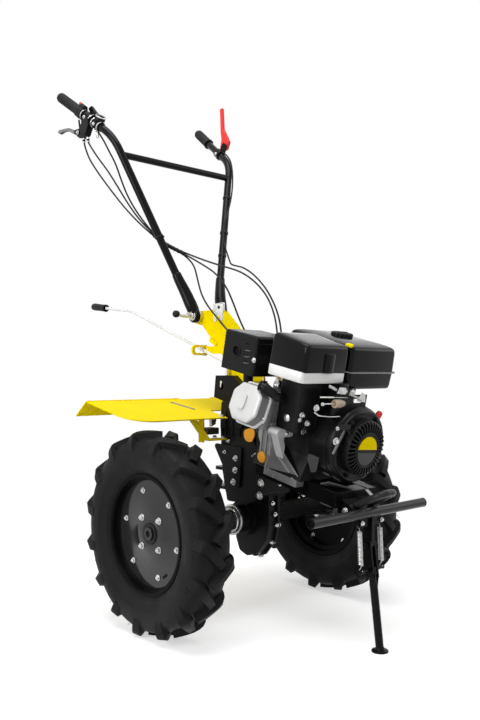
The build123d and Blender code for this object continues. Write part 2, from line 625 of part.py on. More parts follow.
# ------------------------------------------------------------------ cables
def cable(name, points):
    """Cable through the points, with the widest arc that each pair of runs allows."""
    runs = [Vector(*b) - Vector(*a) for a, b in zip(points, points[1:])]
    bends = []
    for before, after in zip(runs, runs[1:]):
        half_turn = math.radians(before.get_angle(after)) / 2
        bends.append(0.45 * min(before.length, after.length) / math.tan(half_turn))
    print(name, "length", round(sum(run.length for run in runs)), "arcs", [round(bend) for bend in bends])
    return bent_rod(points, bends, CABLE_RADIUS)


def leg_point(height, side):
    """Point on the axis of a handle tube's lower leg at this height."""
    foot, bend = Vector(*HANDLE_FOOT), Vector(*HANDLE_BEND)
    place = foot + (bend - foot) * ((height - foot.Z) / (bend.Z - foot.Z))
    return (side * place.X, place.Y, place.Z)


def onward(point, towards, reach):
    """Point at this reach from point, in the direction of the run that ends at towards."""
    step = (Vector(*towards) - Vector(*point)).normalized() * reach
    return tuple(Vector(*point) + step)


def build_cables():
    clutch = cable("cable_clutch_upper", [
        (-277, 497, 1469.7), (-270, 490, 1428), (-246, 464, 1372), (-216, 427, 1308), (-190, 387, 1249),
        (-164, 345, 1198), (-140, 303, 1156)])
    reverse = cable("cable_reverse_upper", [
        (-271, 481, 1469), (-256, 466, 1432), (-228, 429, 1372), (-203, 401, 1311), (-181, 371, 1251),
        (-159, 337, 1199), (-134.5, 301, 1158)])
    throttle = cable("cable_throttle_upper", [
        (-262, 437, 1496), (-257, 418, 1472), (-247, 396, 1428), (-231, 380, 1386), (-213, 375, 1334),
        (-193, 365, 1280), (-173, 343, 1230), (-154, 316, 1187), (-137, 296, 1158)])
    knot = (108, 212, 1092)
    stop = cable("cable_stop_upper", [
        (261, 421, 1526), (255, 390, 1508), (247, 360, 1478), (239, 342, 1438), (229, 329, 1388), (205, 310, 1330),
        (173, 292, 1272), (141, 283, 1212), (127, 262, 1158), (122, 236, 1112), knot])
    save("cables_upper", Compound([clutch, reverse, throttle, stop]))
    wrap = bent_rod([(-137, 300, 1157), (-122, 293, 1142), (-98, 270, 1120), WRAP_END], [20, 60], WRAP_RADIUS)
    wrap = wrap - clutch - reverse - throttle
    wrap = wrap.solids().sort_by(SortBy.VOLUME)[-1]
    bore = HANDLE_RADIUS + FIT
    tie = rod(leg_point(1142, -1), leg_point(1154, -1), bore + 4, bore)
    clip = rod(leg_point(1106, 1), leg_point(1118, 1), bore + 4, bore) + rod((122.5, 252, 1112), (122, 234, 1112), 4)
    save("cable_wrap", wrap + (tie - clutch - reverse - throttle) + (clip - stop - tube_core(1)))
    build_lower_cables(knot)


def build_lower_cables(knot):
    """Cables from the tilting handlebar down to the anchors on the clutch housing."""
    lead = (Vector(*WRAP_END) - Vector(-98, 270, 1120)).normalized()
    face = Plane(origin=WRAP_END, z_dir=tuple(lead))
    starts = []
    for turn in (90, 210, 330):
        spot = (3.4 * math.cos(math.radians(turn)), 3.4 * math.sin(math.radians(turn)), JOINT_GAP)
        begin = face.from_local_coords(spot)
        starts.append((tuple(begin), tuple(begin + lead * 22)))
    foot = ANCHOR_TOP + 0.1
    down = ANCHOR_Y
    throttle = [*starts[0], (-24, 172, 1070), (-3, 116, 1050), (24, 60, 1030), (47, 17, 994), (60, -20, 948),
                (63, -47, 892), (56, -66, 834), (45, -81, 778), (32, down + 3, 728), (30.5, down, foot)]
    clutch = [*starts[1], (-36, 176, 1058), (-27, 124, 1027), (-14, 88, 982), (0, 72, 932), (12, 58, 882),
              (17, 34, 838), (19, 0, 798), (21, -42, 762), (24, down + 5, 736), (24, down, foot)]
    reverse = [*starts[2], (-39, 217, 1062), (-47, 190, 1012), (-54, 162, 960), (-55, 126, 918), (-53, 76, 874),
               (-51, 28, 832), (-47, -16, 796), (-40, -60, 762), (-33, down + 4, 732), (-ANCHOR_X, down, foot)]
    begin = onward(knot, (94, 188, 1072), JOINT_GAP)
    stop = [begin, onward(knot, (94, 188, 1072), 22), (79, 142, 1061), (60, 92, 1050), (54, 42, 1026), (66, 3, 986),
            (75, -27, 938), (76, -53, 886), (69, -71, 830), (57, -85, 776), (40, down + 3, 728), (37, down, foot)]
    routes = {"throttle": throttle, "clutch": clutch, "reverse": reverse, "stop": stop}
    save("cables_lower", Compound([cable(f"cable_{name}_lower", route) for name, route in routes.items()]))


def build_gear_lever():
    knee = Vector(LEVER_X, 548, 930)
    tip = Vector(LEVER_X, LEVER_END_Y, 962)
    end = tip - (tip - knee).normalized() * 88
    route = [(LEVER_X, 44, 706), (LEVER_X, 44, 744), tuple(knee), tuple(end)]
    save("gear_lever", bent_rod(route, [14, 60], 5))
    save("gear_lever_grip", rod(tuple(end), tuple(tip), 12))


def main():
    os.makedirs("parts", exist_ok=True)
    build_wheels()
    build_gearbox()
    build_engine()
    build_chassis()
    build_bumper()
    build_stand()
    build_fenders()
    build_column()
    build_handlebar()
    build_controls()
    build_cables()
    build_gear_lever()


main()
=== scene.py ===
from math import cos, pi, radians, sin, sqrt, tau
import random
import bpy
import bmesh
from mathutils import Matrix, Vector


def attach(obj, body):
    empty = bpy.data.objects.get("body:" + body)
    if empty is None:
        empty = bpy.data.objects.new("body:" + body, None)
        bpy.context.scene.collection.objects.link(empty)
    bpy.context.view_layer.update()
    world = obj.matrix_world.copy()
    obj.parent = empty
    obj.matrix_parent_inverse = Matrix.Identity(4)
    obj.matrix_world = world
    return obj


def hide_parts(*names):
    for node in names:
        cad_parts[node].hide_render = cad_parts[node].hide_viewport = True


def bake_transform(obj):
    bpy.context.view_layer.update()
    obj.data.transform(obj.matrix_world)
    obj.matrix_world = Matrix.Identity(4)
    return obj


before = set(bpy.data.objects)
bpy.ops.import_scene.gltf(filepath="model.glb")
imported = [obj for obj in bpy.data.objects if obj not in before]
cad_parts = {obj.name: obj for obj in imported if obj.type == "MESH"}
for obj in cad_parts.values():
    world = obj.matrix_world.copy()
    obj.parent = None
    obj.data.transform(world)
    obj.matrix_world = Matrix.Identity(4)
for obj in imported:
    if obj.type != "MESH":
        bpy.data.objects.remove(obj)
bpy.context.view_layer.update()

# ---------------------------------------------------------------- places
MM = 0.001
SHIFT = -135.5                  # packed Y of the axle line, mm
TYRE = 278.0                    # outer radius, and height of the axle
TRACK = 350.0                   # a wheel's middle plane from the machine's
CRANK_Y, CRANK_Z = -450, 515    # the crank's front
ENGINE_TURN = radians(12)
SIDES = ((-1, "right"), (1, "left"))
UP, FRONT = Vector((0, 0, 1)), Vector((0, -1, 0))
RIGHT, LEFT = Vector((-1, 0, 0)), Vector((1, 0, 0))


def at(x, y, z):
    """Point in metres, from millimetres measured from the axle line and the floor."""
    return Vector((x, y + SHIFT, z)) * MM


def eng(x, back, high):
    """Point in metres, from the engine's own millimetres: side, back from the crank's front, and up."""
    c, s = cos(ENGINE_TURN), sin(ENGINE_TURN)
    return at(x, CRANK_Y + back * c - high * s, CRANK_Z + back * s + high * c)


def way(x, back, high):
    """Direction in the engine's own axes."""
    return (eng(x, back, high) - eng(0, 0, 0)).normalized()


def at_x(place, x, *pairs):
    """Points that share their first measure: place is at, eng or a function like them."""
    return [place(x, a, b) for a, b in pairs]


def at_y(place, y, *pairs):
    """Points that share their second measure."""
    return [place(a, y, b) for a, b in pairs]


def at_z(place, z, *pairs):
    """Points that share their third measure."""
    return [place(a, b, z) for a, b in pairs]


AHEAD, ABOVE = way(0, -1, 0), way(0, 0, 1)      # the engine's own front and top


# ---------------------------------------------------------------- materials
def set_inputs(tree, node, inputs):
    """Fills a node's inputs; a value that is a socket is linked."""
    for name, value in inputs.items():
        if isinstance(value, bpy.types.NodeSocket):
            tree.links.new(value, node.inputs[name])
        else:
            node.inputs[name].default_value = value


def add_node(tree, kind, inputs=None, output=0, **choices):
    """Adds a shader node and gives back one of its outputs."""
    node = tree.nodes.new("ShaderNode" + kind)
    for name, value in choices.items():
        setattr(node, name, value)
    set_inputs(tree, node, inputs or {})
    return node.outputs[output]


def add_range(tree, value, low, high, to_low, to_high, **choices):
    inputs = {"Value": value, "From Min": low, "From Max": high, "To Min": to_low, "To Max": to_high}
    return add_node(tree, "MapRange", inputs, **choices)


def rgb(colour):
    """A colour from one number for grey, two for grey with its own blue, or three."""
    if isinstance(colour, float):
        return (colour, colour, colour)
    return (colour[0], *colour) if len(colour) == 2 else colour


DRIFT_SCALE, DRIFT_SPAN, GLOSS_DRIFT = 14.0, (0.3, 0.7), 1.4
GRAIN_DEEP = 0.0006
EDGE_FACING = (0.985, 0.86)     # where the pale edge starts and where it is full; the pale edge is part wear, part painted highlight


def finish(name, colour, rough, metal, vary, grain, grain_size, wear_and_sheen_tone, wear_and_sheen, specular, rounding,
           coat=0.0, coat_ior=1.25, gloss=0.08):
    """Procedural surface: colour drift, uneven gloss, fine bump, softened edges, and pale edges that are part
    wear and part painted highlight.
    """
    mat = bpy.data.materials.new(name)
    mat.use_nodes = True
    tree = mat.node_tree
    place = add_node(tree, "TexCoord", output="Object")
    edge = add_node(tree, "Bevel", {"Radius": rounding * MM}, samples=4)
    drift = add_node(tree, "TexNoise", {"Vector": place, "Scale": DRIFT_SCALE, "Detail": 5.0})
    fine = add_node(tree, "TexNoise", {"Vector": place, "Scale": grain_size, "Detail": 3.0})
    tone = add_range(tree, drift, *DRIFT_SPAN, 1.0 - vary, 1.0 + vary)
    tint = add_node(tree, "VectorMath", {0: rgb(colour), "Scale": tone}, operation="SCALE")
    if wear_and_sheen_tone:
        normal = add_node(tree, "NewGeometry", output="Normal")
        facing = add_node(tree, "VectorMath", {0: edge, 1: normal}, "Value", operation="DOT_PRODUCT")
        # pale edges from the bevel mask: part wear, part painted highlight on the edges
        bare_and_sheen = add_range(tree, facing, *EDGE_FACING, 0.0, wear_and_sheen)
        patchy = add_node(tree, "Math", {0: bare_and_sheen, 1: fine}, operation="MULTIPLY")
        mixed = {"Factor": patchy, "A": tint, "B": (*rgb(wear_and_sheen_tone), 1.0)}
        tint = add_node(tree, "Mix", mixed, "Result", data_type="RGBA")
    swing = GLOSS_DRIFT * vary
    dull = add_range(tree, drift, *DRIFT_SPAN, max(0.03, rough * (1 - swing)), min(1.0, rough * (1 + swing)))
    relief = {"Strength": grain, "Distance": GRAIN_DEEP, "Height": fine, "Normal": edge}
    set_inputs(tree, tree.nodes["Principled BSDF"], {
        "Base Color": tint, "Roughness": dull, "Normal": add_node(tree, "Bump", relief), "Metallic": metal,
        "Specular IOR Level": specular, "Coat Weight": coat, "Coat Roughness": gloss, "Coat IOR": coat_ior})
    return mat


# edge tone of the dark finishes; their pale edges are part wear, part painted highlight
PALE = (0.30, 0.29)
# key: name, colour, roughness, metal, drift, grain, grain scale, pale edge colour, its share, specular, edge
# radius,
# and for a lacquered one its coat's weight, IOR and roughness
LOOKS = {
    "tyre": ("rubber_tread", (0.0062, 0.0066), 0.55, 0, 0.22, 0.35, 420, None, 0, 0.12, 2.0),
    "wheel_paint": ("wheel_paint", (0.020, 0.021), 0.08, 0, 0.1, 0.015, 520, PALE, 0.10, 0.30, 1.6),
    "gearbox_casting": ("gearbox_casting", (0.0056, 0.006), 0.42, 0, 0.16, 0.4, 300, PALE, 0.05, 0.12, 2.2),
    "engine_casting": ("engine_casting", (0.012, 0.0124), 0.40, 0, 0.16, 0.5, 330, PALE, 0.12, 0.2, 2.0),
    "alloy": ("raw_alloy", 0.50, 0.45, 0.15, 0.2, 0.5, 260, 0.85, 0.7, 0.5, 1.6),
    "valve_cover": ("valve_cover_silver", (0.66, 0.65), 0.42, 0.12, 0.06, 0.14, 420, 0.90, 0.5, 0.3, 1.4),
    "bright_steel": ("zinc_steel", (0.62, 0.61), 0.26, 0.9, 0.1, 0.12, 900, 0.85, 0.3, 0.5, 0.7),
    "silver_trim": ("silver_trim", (0.82, 0.81), 0.38, 0.15, 0.06, 0.06, 700, 0.8, 0.2, 0.5, 2.0),
    "engine_black": ("engine_black", (0.0080, 0.0084), 0.32, 0, 0.14, 0.10, 600, PALE, 0.06, 0.08, 2.0,
                     0.35, 1.22, 0.14),
    "tank_black": ("tank_enamel", (0.0022, 0.0025), 0.3, 0, 0.08, 0.02, 260, PALE, 0.03, 0.02, 2.4,
                   1.0, 1.22, 0.05),
    "frame_black": ("frame_black", (0.0034, 0.0037), 0.32, 0, 0.14, 0.14, 420, PALE, 0.06, 0.08, 1.3,
                    0.3, 1.2, 0.12),
    "tube_black": ("tube_enamel", (0.0042, 0.0045), 0.24, 0, 0.1, 0.015, 160, None, 0, 0.06, 0.3,
                   0.5, 1.22, 0.1),
    "yellow_paint": ("yellow_enamel", (0.96, 0.74, 0.0), 0.42, 0, 0.03, 0.02, 160, (0.97, 0.82, 0.16), 0.25,
                     0.01, 0.15),
    "grip_rubber": ("grip_rubber", (0.010, 0.0105), 0.6, 0, 0.14, 0.4, 500, None, 0, 0.2, 1.5),
    "red_plastic": ("red_plastic", (0.80, 0.016, 0.012), 0.36, 0, 0.07, 0.08, 700, (0.9, 0.25, 0.2), 0.3,
                    0.5, 1.2),
    "cable_black": ("cable_sheath", (0.006, 0.0063), 0.40, 0, 0.14, 0.1, 500, None, 0, 0.2, 0.3),
    "orange_plastic": ("orange_plastic", (0.86, 0.36, 0.015), 0.4, 0, 0.1, 0.1, 700, (0.9, 0.6, 0.2), 0.3,
                       0.5, 0.8),
    "brass": ("brass", (0.62, 0.42, 0.16), 0.3, 0.9, 0.1, 0.1, 700, None, 0, 0.5, 0.4),
    "white_strip": ("pale_strip", (0.62, 0.62, 0.58), 0.4, 0, 0.08, 0.08, 700, None, 0, 0.5, 0.4),
    "label_grey": ("label_grey", (0.035, 0.037), 0.35, 0, 0.06, 0.05, 700, None, 0, 0.3, 0.6),
    "lip_grey": ("louvre_edge", 0.07, 0.35, 0, 0.1, 0.05, 700, None, 0, 0.4, 0.4),
    "case_alloy": ("case_alloy", (0.17, 0.172), 0.40, 0.25, 0.2, 0.4, 260, 0.55, 0.9, 0.5, 1.8),
    "dim_steel": ("dim_steel", 0.22, 0.35, 0.6, 0.1, 0.15, 700, 0.5, 0.4, 0.5, 0.8),
    "beige_plastic": ("beige_plastic", (0.48, 0.38, 0.27), 0.4, 0, 0.12, 0.1, 700, None, 0, 0.4, 0.8),
    "plate_grey": ("bracket_grey", (0.055, 0.057), 0.42, 0.2, 0.14, 0.3, 700, 0.4, 0.4, 0.5, 1.0),
    "pale_steel": ("pale_steel", 0.36, 0.36, 0.4, 0.1, 0.2, 700, 0.6, 0.3, 0.5, 0.8),
    "alloy_dim": ("sand_cast_alloy", 0.30, 0.45, 0.4, 0.28, 0.6, 220, 0.7, 0.8, 0.5, 2.2),
    # near-black copy of the rim paint and the bumper enamel: painted shade
    "rim_dark": ("rim_back", (0.0026, 0.0028), 0.36, 0, 0.14, 0.08, 700, PALE, 0.04, 0.04, 1.2),
    # light grey for the black tank's seam bead: painted highlight
    "seam_highlight_grey": ("crimped_seam", 0.24, 0.3, 0, 0.12, 0.08, 700, 0.6, 0.4, 0.4, 0.8),
    "bumper_grey": ("bumper_enamel", (0.024, 0.025), 0.34, 0, 0.12, 0.06, 260, PALE, 0.08, 0.12, 0.3, 0.3),
    # darker grey copy of the valve cover's silver, for its side wall: painted shade
    "cover_wall": ("cover_wall", 0.20, 0.48, 0, 0.14, 0.3, 320, 0.6, 0.4, 0.2, 1.2),
    # near-black matt sheets put inside holes and hollows: painted shade
    "pit": ("dark_recess", 0.002, 0.85, 0, 0.3, 0.2, 700, None, 0, 0.1, 0.4),
}
M = {key: finish(*look) for key, look in LOOKS.items()}
BY_NODE = {"bumper_bar": "bumper_grey", "bumper_loop": "bumper_grey", "gear_lever": "silver_trim",
           "handle_left": "tube_black", "handle_right": "tube_black", "handle_crossbar": "tube_black"}


def paint_nodes():
    """Gives every CAD node the look of its slot, or its own from BY_NODE."""
    for name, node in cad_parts.items():
        own = node.data.materials
        slot = own[0].name.split(".")[0] if own else "frame_black"
        look = M[BY_NODE.get(name, slot)]
        for index in range(len(own)):
            own[index] = look
        if not own:
            own.append(look)


# ---------------------------------------------------------------- shape kit
def square_to(axis):
    """Unit vectors along an axis and two ways across it."""
    axis = Vector(axis).normalized()
    side = axis.orthogonal().normalized()
    return axis, side, axis.cross(side)


def spoke(side, other, turn):
    return side * cos(turn) + other * sin(turn)


AXIS_GAP = 0.02         # mm: a profile's points stay this far from its axis
JOIN = 2e-6             # metres: points nearer than this are one


class Shape:
    """Faces of one piece, gathered in metres."""

    def __init__(self):
        self.bm = bmesh.new()

    def grid(self, rows, wrap_rows=False, wrap_cols=False, caps=False):
        """Skin over rows of points."""
        made = [[self.bm.verts.new(p) for p in row] for row in rows]
        count, width = len(made), len(made[0])
        for i in range(count if wrap_rows else count - 1):
            for j in range(width if wrap_cols else width - 1):
                a, b = made[i], made[(i + 1) % count]
                k = (j + 1) % width
                self.bm.faces.new((a[j], b[j], b[k], a[k]))
        if caps:
            self.bm.faces.new(made[0])
            self.bm.faces.new(list(reversed(made[-1])))
        return self

    def loft(self, rows):
        """Skin over closed rows of points, with both ends filled."""
        return self.grid(rows, wrap_cols=True, caps=True)

    def lathe(self, profile, centre, axis, steps=48, start=0.0):
        """Turns a (reach along the axis, radius) profile in mm about the axis."""
        axis, side, other = square_to(axis)
        rows = []
        for i in range(steps):
            out = spoke(side, other, start + tau * i / steps)
            rows.append([centre + (axis * reach + out * max(radius, AXIS_GAP)) * MM
                         for reach, radius in profile])
        return self.grid(rows, wrap_rows=True)

    def tube(self, points, radius, sides=10):
        """Round bar along points, radius in mm or one for each point."""
        points = [Vector(p) for p in points]
        last = len(points) - 1
        side = None
        rows = []
        for i, point in enumerate(points):
            ahead = (points[min(last, i + 1)] - points[max(0, i - 1)]).normalized()
            side = side or ahead.orthogonal().normalized()
            side = (side - ahead * side.dot(ahead)).normalized()
            other = ahead.cross(side)
            reach = (radius[i] if isinstance(radius, list) else radius) * MM
            rows.append([point + spoke(side, other, tau * j / sides) * reach for j in range(sides)])
        return self.loft(rows)

    def prism(self, outline, depth):
        """Slab between an outline and the same outline moved by depth."""
        low = [self.bm.verts.new(p) for p in outline]
        high = [self.bm.verts.new(Vector(p) + depth) for p in outline]
        self.bm.faces.new(low)
        self.bm.faces.new(list(reversed(high)))
        for i in range(len(low)):
            j = (i + 1) % len(low)
            self.bm.faces.new((low[j], low[i], high[i], high[j]))
        return self

    def box(self, centre, x, y, z):
        """Box about centre with half-extent vectors x, y and z in metres."""
        corners = [centre - x - y - z, centre + x - y - z, centre + x + y - z, centre - x + y - z]
        return self.prism(corners, z * 2)

    def bolt(self, place, axis, across=10.0, high=5.0, washer=0.0, stud=0.0, turn=0.0):
        """Hexagon head with a chamfered top, on a washer, with a stud end standing out of it."""
        axis = Vector(axis).normalized()
        base = place
        if washer:
            self.lathe([(0, 0), (0, washer), (1.2, washer), (1.5, washer - 0.4), (1.5, 0)], place, axis, 20)
            base = place + axis * 1.5 * MM
        corner = across / sqrt(3)
        self.lathe([(0, corner), (high - 0.9, corner), (high, corner - 1.0), (high, 0)], base, axis, 6, turn)
        if stud:
            end = high + 3.0
            self.lathe([(0, stud), (end - 0.6, stud), (end, stud - 0.5), (end, 0)], base, axis, 14)
        return self

    def same_bolts(self, places, *bolt):
        """The same bolt at several places."""
        for place in places:
            self.bolt(place, *bolt)
        return self

    def bolts(self, *rows):
        """Several bolts: place, axis, across the flats, height, washer, stud and turn of each."""
        for row in rows:
            self.bolt(*row)
        return self


def piece(name, shape, mat="bright_steel", body="chassis", replaces=(), slot=None, bevel=0.0, segments=2,
          angle=35):
    """Object of a shape that rides on a body, edges softened; the slot argument is not used."""
    mesh = bpy.data.meshes.new(name)
    bmesh.ops.remove_doubles(shape.bm, verts=shape.bm.verts, dist=JOIN)
    bmesh.ops.recalc_face_normals(shape.bm, faces=shape.bm.faces)
    shape.bm.to_mesh(mesh)
    shape.bm.free()
    item = bpy.data.objects.new(name, mesh)
    bpy.context.scene.collection.objects.link(item)
    mesh.materials.append(M[mat])
    mesh.shade_smooth()
    mesh.set_sharp_from_angle(angle=radians(angle))
    if bevel:
        soften = item.modifiers.new("edges", "BEVEL")
        soften.width = bevel * MM
        soften.segments = segments
        soften.limit_method = "ANGLE"
        soften.angle_limit = radians(angle)
        soften.harden_normals = True
    if body:
        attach(item, body)
    if replaces:
        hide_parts(*replaces)
    return item


def turned(name, profile, centre, axis, steps, *look, **more):
    """Piece made of one turned profile."""
    piece(name, Shape().lathe(profile, centre, axis, steps), *look, **more)


def slab(name, outline, depth, *look, **more):
    """Piece made of one flat outline."""
    piece(name, Shape().prism(outline, depth), *look, **more)


def ribbed(levels, base, axes, steps, pitch):
    """Cap with grip ribs: levels are (reach, radius, groove), and two steps of each pitch are grooved."""
    axis, side, other = axes
    rows = []
    for reach, radius, groove in levels:
        spans = [radius - (groove if i % pitch < 2 else 0) for i in range(steps)]
        rows.append([base + (axis * reach + spoke(side, other, tau * i / steps) * span) * MM
                     for i, span in enumerate(spans)])
    return Shape().loft(rows)


def rounded(x0, x1, y0, y1, radius, steps=5):
    """Corner-rounded rectangle as (x, y) points."""
    points = []
    for cx, cy, start in ((x1 - radius, y1 - radius, 0), (x0 + radius, y1 - radius, 90),
                          (x0 + radius, y0 + radius, 180), (x1 - radius, y0 + radius, 270)):
        for i in range(steps + 1):
            turn = radians(start + 90 * i / steps)
            points.append((cx + radius * cos(turn), cy + radius * sin(turn)))
    return points


def cut_corners(outline, rounds=2, share=0.25):
    """Softens a closed outline by cutting its corners again and again."""
    for _ in range(rounds):
        softer = []
        for i, a in enumerate(outline):
            b = outline[(i + 1) % len(outline)]
            softer.append(tuple(p + (q - p) * share for p, q in zip(a, b)))
            softer.append(tuple(p + (q - p) * (1 - share) for p, q in zip(a, b)))
        outline = softer
    return outline


def arc_path(points, bend=0.4, steps=5):
    """Path with its inner corners rounded."""
    path = [points[0]]
    for before, corner, after in zip(points, points[1:], points[2:]):
        reach = min((corner - before).length, (after - corner).length) * bend
        a = corner + (before - corner).normalized() * reach
        b = corner + (after - corner).normalized() * reach
        for i in range(steps + 1):
            t = i / steps
            path.append(a * (1 - t) ** 2 + corner * 2 * t * (1 - t) + b * t * t)
    return path + [points[-1]]


def coil(start, end, radius, turns, steps=12):
    """Points of a helix between two places."""
    _, side, other = square_to(end - start)
    count = turns * steps
    return [start.lerp(end, i / count) + spoke(side, other, tau * i / steps) * radius * MM
            for i in range(count + 1)]


# ---------------------------------------------------------------- wheels
CARCASS = [(30, 153), (36.5, 153.5), (39, 158), (39.5, 164), (41, 169), (43.5, 171.5), (45.5, 173),
           (46, 175.5), (48, 180), (52, 190), (54.2, 199), (55.2, 200.5), (55.6, 203), (56.6, 212),
           (56.8, 222), (56, 232), (55.2, 234), (54.6, 237), (52.5, 244), (49, 250), (44, 254.5), (36, 257.5),
           (24, 259.2), (12, 260), (0, 260.2)]
LUGS = 15
# one bar of the tread from near the middle outwards: x, radius, and how far it runs ahead
LUG = [(-9, 277.6, 66), (-2, 277.8, 58), (8, 277.8, 49), (19, 277.4, 39), (30, 276.6, 28), (41, 274.8, 17),
       (49, 271, 10), (54.5, 263.5, 6), (57.4, 254, 4), (58.2, 241, 2), (58.0, 227, 0)]
LUG_DEEP, LUG_SHOULDER, LUG_FLARE = 22, 45, 7.0
RIM = [(12, 146), (16, 146), (16, 134), (16, 62), (16.8, 60), (16.8, 36), (18.4, 35), (18.4, 24),
       (17.6, 22.5), (12, 22)]
RIM_EDGE = [(30, 151), (37.2, 152), (37.4, 160), (38, 164), (39.6, 166), (41.6, 165.4), (42.2, 163),
            (41.8, 158), (41.0, 154), (39.0, 152), (36.4, 151), (32, 150), (19.5, 148), (17.6, 146.5),
            (16.4, 144), (12, 143)]
RIM_BACK = [(12, 22), (12, 142), (10, 146), (6, 139), (-12, 136), (-20, 149), (-38, 150), (-40.5, 160),
            (-42, 164), (-40, 166), (-37.5, 163), (-37, 152), (-18, 152.2), (-12, 138), (6, 138), (14, 151),
            (30, 151)]
VALVE_TURN = radians(148)


def wheel_point(side, x, radius, turn):
    """Point on a wheel: x outwards from its middle plane, turn from the top in the driving direction."""
    return at(side * (TRACK + x), -radius * sin(turn), TYRE + radius * cos(turn))


def build_tyre(side, name, body):
    shape = Shape()
    profile = CARCASS + [(-x, r) for x, r in reversed(CARCASS[:-1])]
    steps = 180
    shape.grid([[wheel_point(side, x, r, tau * i / steps) for x, r in profile] for i in range(steps)],
               wrap_rows=True)
    for half in (-1, 1):
        start = 0.58 if half == -side else 0.08
        for step in range(LUGS):
            add_lug(shape, side, half, tau * (step + start) / LUGS)
    piece(f"tyre_{name}_lugged", shape, "tyre", body, (f"tyre_{name}",), bevel=1.6, angle=40)
    rng = random.Random(5 + side)
    hairs = Shape()
    for _ in range(30):
        turn = rng.uniform(0, tau)
        x, radius = rng.choice(((57, 226), (55.5, 236), (-56, 230), (47, 254), (-46, 254)))
        root = wheel_point(side, x, radius, turn)
        tip = wheel_point(side, x + rng.uniform(-3, 7), radius + rng.uniform(6, 14),
                          turn + rng.uniform(-0.03, 0.03))
        hairs.tube([root, root.lerp(tip, 0.6), tip], [0.7, 0.5, 0.2], 5)
    piece(f"tyre_{name}_vents", hairs, "tyre", body)


def add_lug(shape, side, half, turn):
    """One bar of the tread, from just past the middle out over the shoulder."""
    path = [wheel_point(side, half * x, radius, turn + lead / TYRE) for x, radius, lead in LUG]
    rows = []
    for i, (x, _, lead) in enumerate(LUG):
        along = (path[min(len(path) - 1, i + 1)] - path[max(0, i - 1)]).normalized()
        out = path[i] - wheel_point(side, half * max(0, x - 26), 214, turn + lead / TYRE)
        out = (out - along * out.dot(along)).normalized()
        width = along.cross(out)
        top = 9.5 + 0.06 * max(0, x)
        foot = top + LUG_FLARE
        base = path[i] - out * (LUG_DEEP - max(0, x - LUG_SHOULDER) * 0.7) * MM
        rows.append([base - width * foot * MM, path[i] - width * top * MM,
                     path[i] + width * top * MM, base + width * foot * MM])
    shape.loft(rows)


def build_rim(side, name, body):
    out = LEFT * side
    hub = at(side * TRACK, 0, TYRE)
    turned(f"rim_{name}_pressed", RIM, hub, out, 120, "wheel_paint", body, (f"rim_{name}",), bevel=0.5,
           angle=30)
    # barrel, bead seat and flange of the same pressed rim in near-black instead of the rim's paint: painted
    # shade inside the rim
    back = Shape().lathe(RIM_EDGE, hub, out, 120).lathe(RIM_BACK, hub, out, 96)
    piece(f"rim_{name}_back", back, "rim_dark", body, slot="wheel_paint", bevel=0.5, angle=30)
    # a near-black sheet on the rim where the valve hole is: painted shade of the hole
    valve_hole_shade_at = wheel_point(side, 16.3, 122, VALVE_TURN)
    radial = (wheel_point(side, 0, 100, VALVE_TURN) - hub).normalized()
    mark = Shape().box(valve_hole_shade_at, out * 0.0006, radial.cross(out) * 0.011, radial * 0.0035)
    piece(f"rim_{name}_slot", mark, "pit", body, slot="wheel_paint", bevel=0.8)
    bolts = Shape()
    for step in range(6):
        place = wheel_point(side, 16, 118, radians(-17 - 60 * step))
        bolts.lathe([(0, 0), (0, 8.5), (1.6, 8.2), (1.8, 6), (1.8, 0)], place, out, 24)
        bolts.bolt(place + out * 0.0018, out, 10, 4.4, turn=step * 0.4)
    for step in range(4):
        turn = radians(-45 - 90 * step)
        bolts.bolt(wheel_point(side, 16.8, 55, turn), out, 13, 6, washer=9.5, stud=3.6, turn=step * 0.7)
        bolts.bolt(wheel_point(side, -1, 55, turn), -out, 13, 6, washer=9.5, turn=step * 0.5)
    for step in range(6):
        bolts.bolt(wheel_point(side, 12, 133, radians(-30 - 60 * step)), -out, 10, 5, washer=8, stud=3)
    piece(f"rim_{name}_bolts", bolts, "bright_steel", body)
    ring = Shape().lathe([(14, 30), (20, 30), (22, 28.5), (22, 19), (20.5, 17.5), (4, 17.2)], hub, out, 40)
    ring.lathe([(6, 17.2), (6, 9.5), (3, 9)], hub, out, 40)
    piece(f"rim_{name}_centre", ring, "engine_black", body, bevel=0.6)


def build_wheels():
    for side, name in SIDES:
        build_tyre(side, name, f"wheel_{name}")
        build_rim(side, name, f"wheel_{name}")


# ---------------------------------------------------------------- engine
HEAD_TILT, HEAD_MIDDLE, HEAD_RISE = radians(14), 234.0, 16.0
FINS = 36
# the guard's ribs, outer and inner edge: radius and depth behind the crank's front
FIN_OUT = [(45, 0.5), (46.5, -2.8), (62, -3.2), (67, -2.0), (70.4, 0.4), (72.0, 3.6), (72.4, 8)]
FIN_IN = [(45, 7), (46.5, 4), (60, 4), (63, 5), (65.4, 6.5), (66.4, 8), (66.6, 9)]


def head(reach, along, across):
    """Point in the cylinder's axes: reach from the crank, along the engine and across."""
    c, s = cos(HEAD_TILT), sin(HEAD_TILT)
    return eng(-reach * c + across * s, HEAD_MIDDLE + along, HEAD_RISE + reach * s + across * c)


def eng_loft(x, back, levels, radius, rise=0.0):
    """Stack of rounded rectangles in the engine's axes; a level is (height, inset), and the top can rise."""
    rows = []
    low, span = levels[0][0], levels[-1][0] - levels[0][0]
    for height, inset in levels:
        outline = rounded(x[0] + inset, x[1] - inset, back[0] + inset, back[1] - inset,
                          max(3, radius - inset * 0.4))
        lift = rise * (height - low) / span
        rows.append([eng(px, pb, height + lift * (pb - back[0])) for px, pb in outline])
    return Shape().loft(rows)


def octagon(half_b, half_h, cut):
    corners = [(half_b, half_h - cut), (half_b - cut, half_h), (cut - half_b, half_h),
               (-half_b, half_h - cut), (-half_b, cut - half_h), (cut - half_b, -half_h),
               (half_b - cut, -half_h), (half_b, cut - half_h)]
    return cut_corners(corners, 2, 0.07)


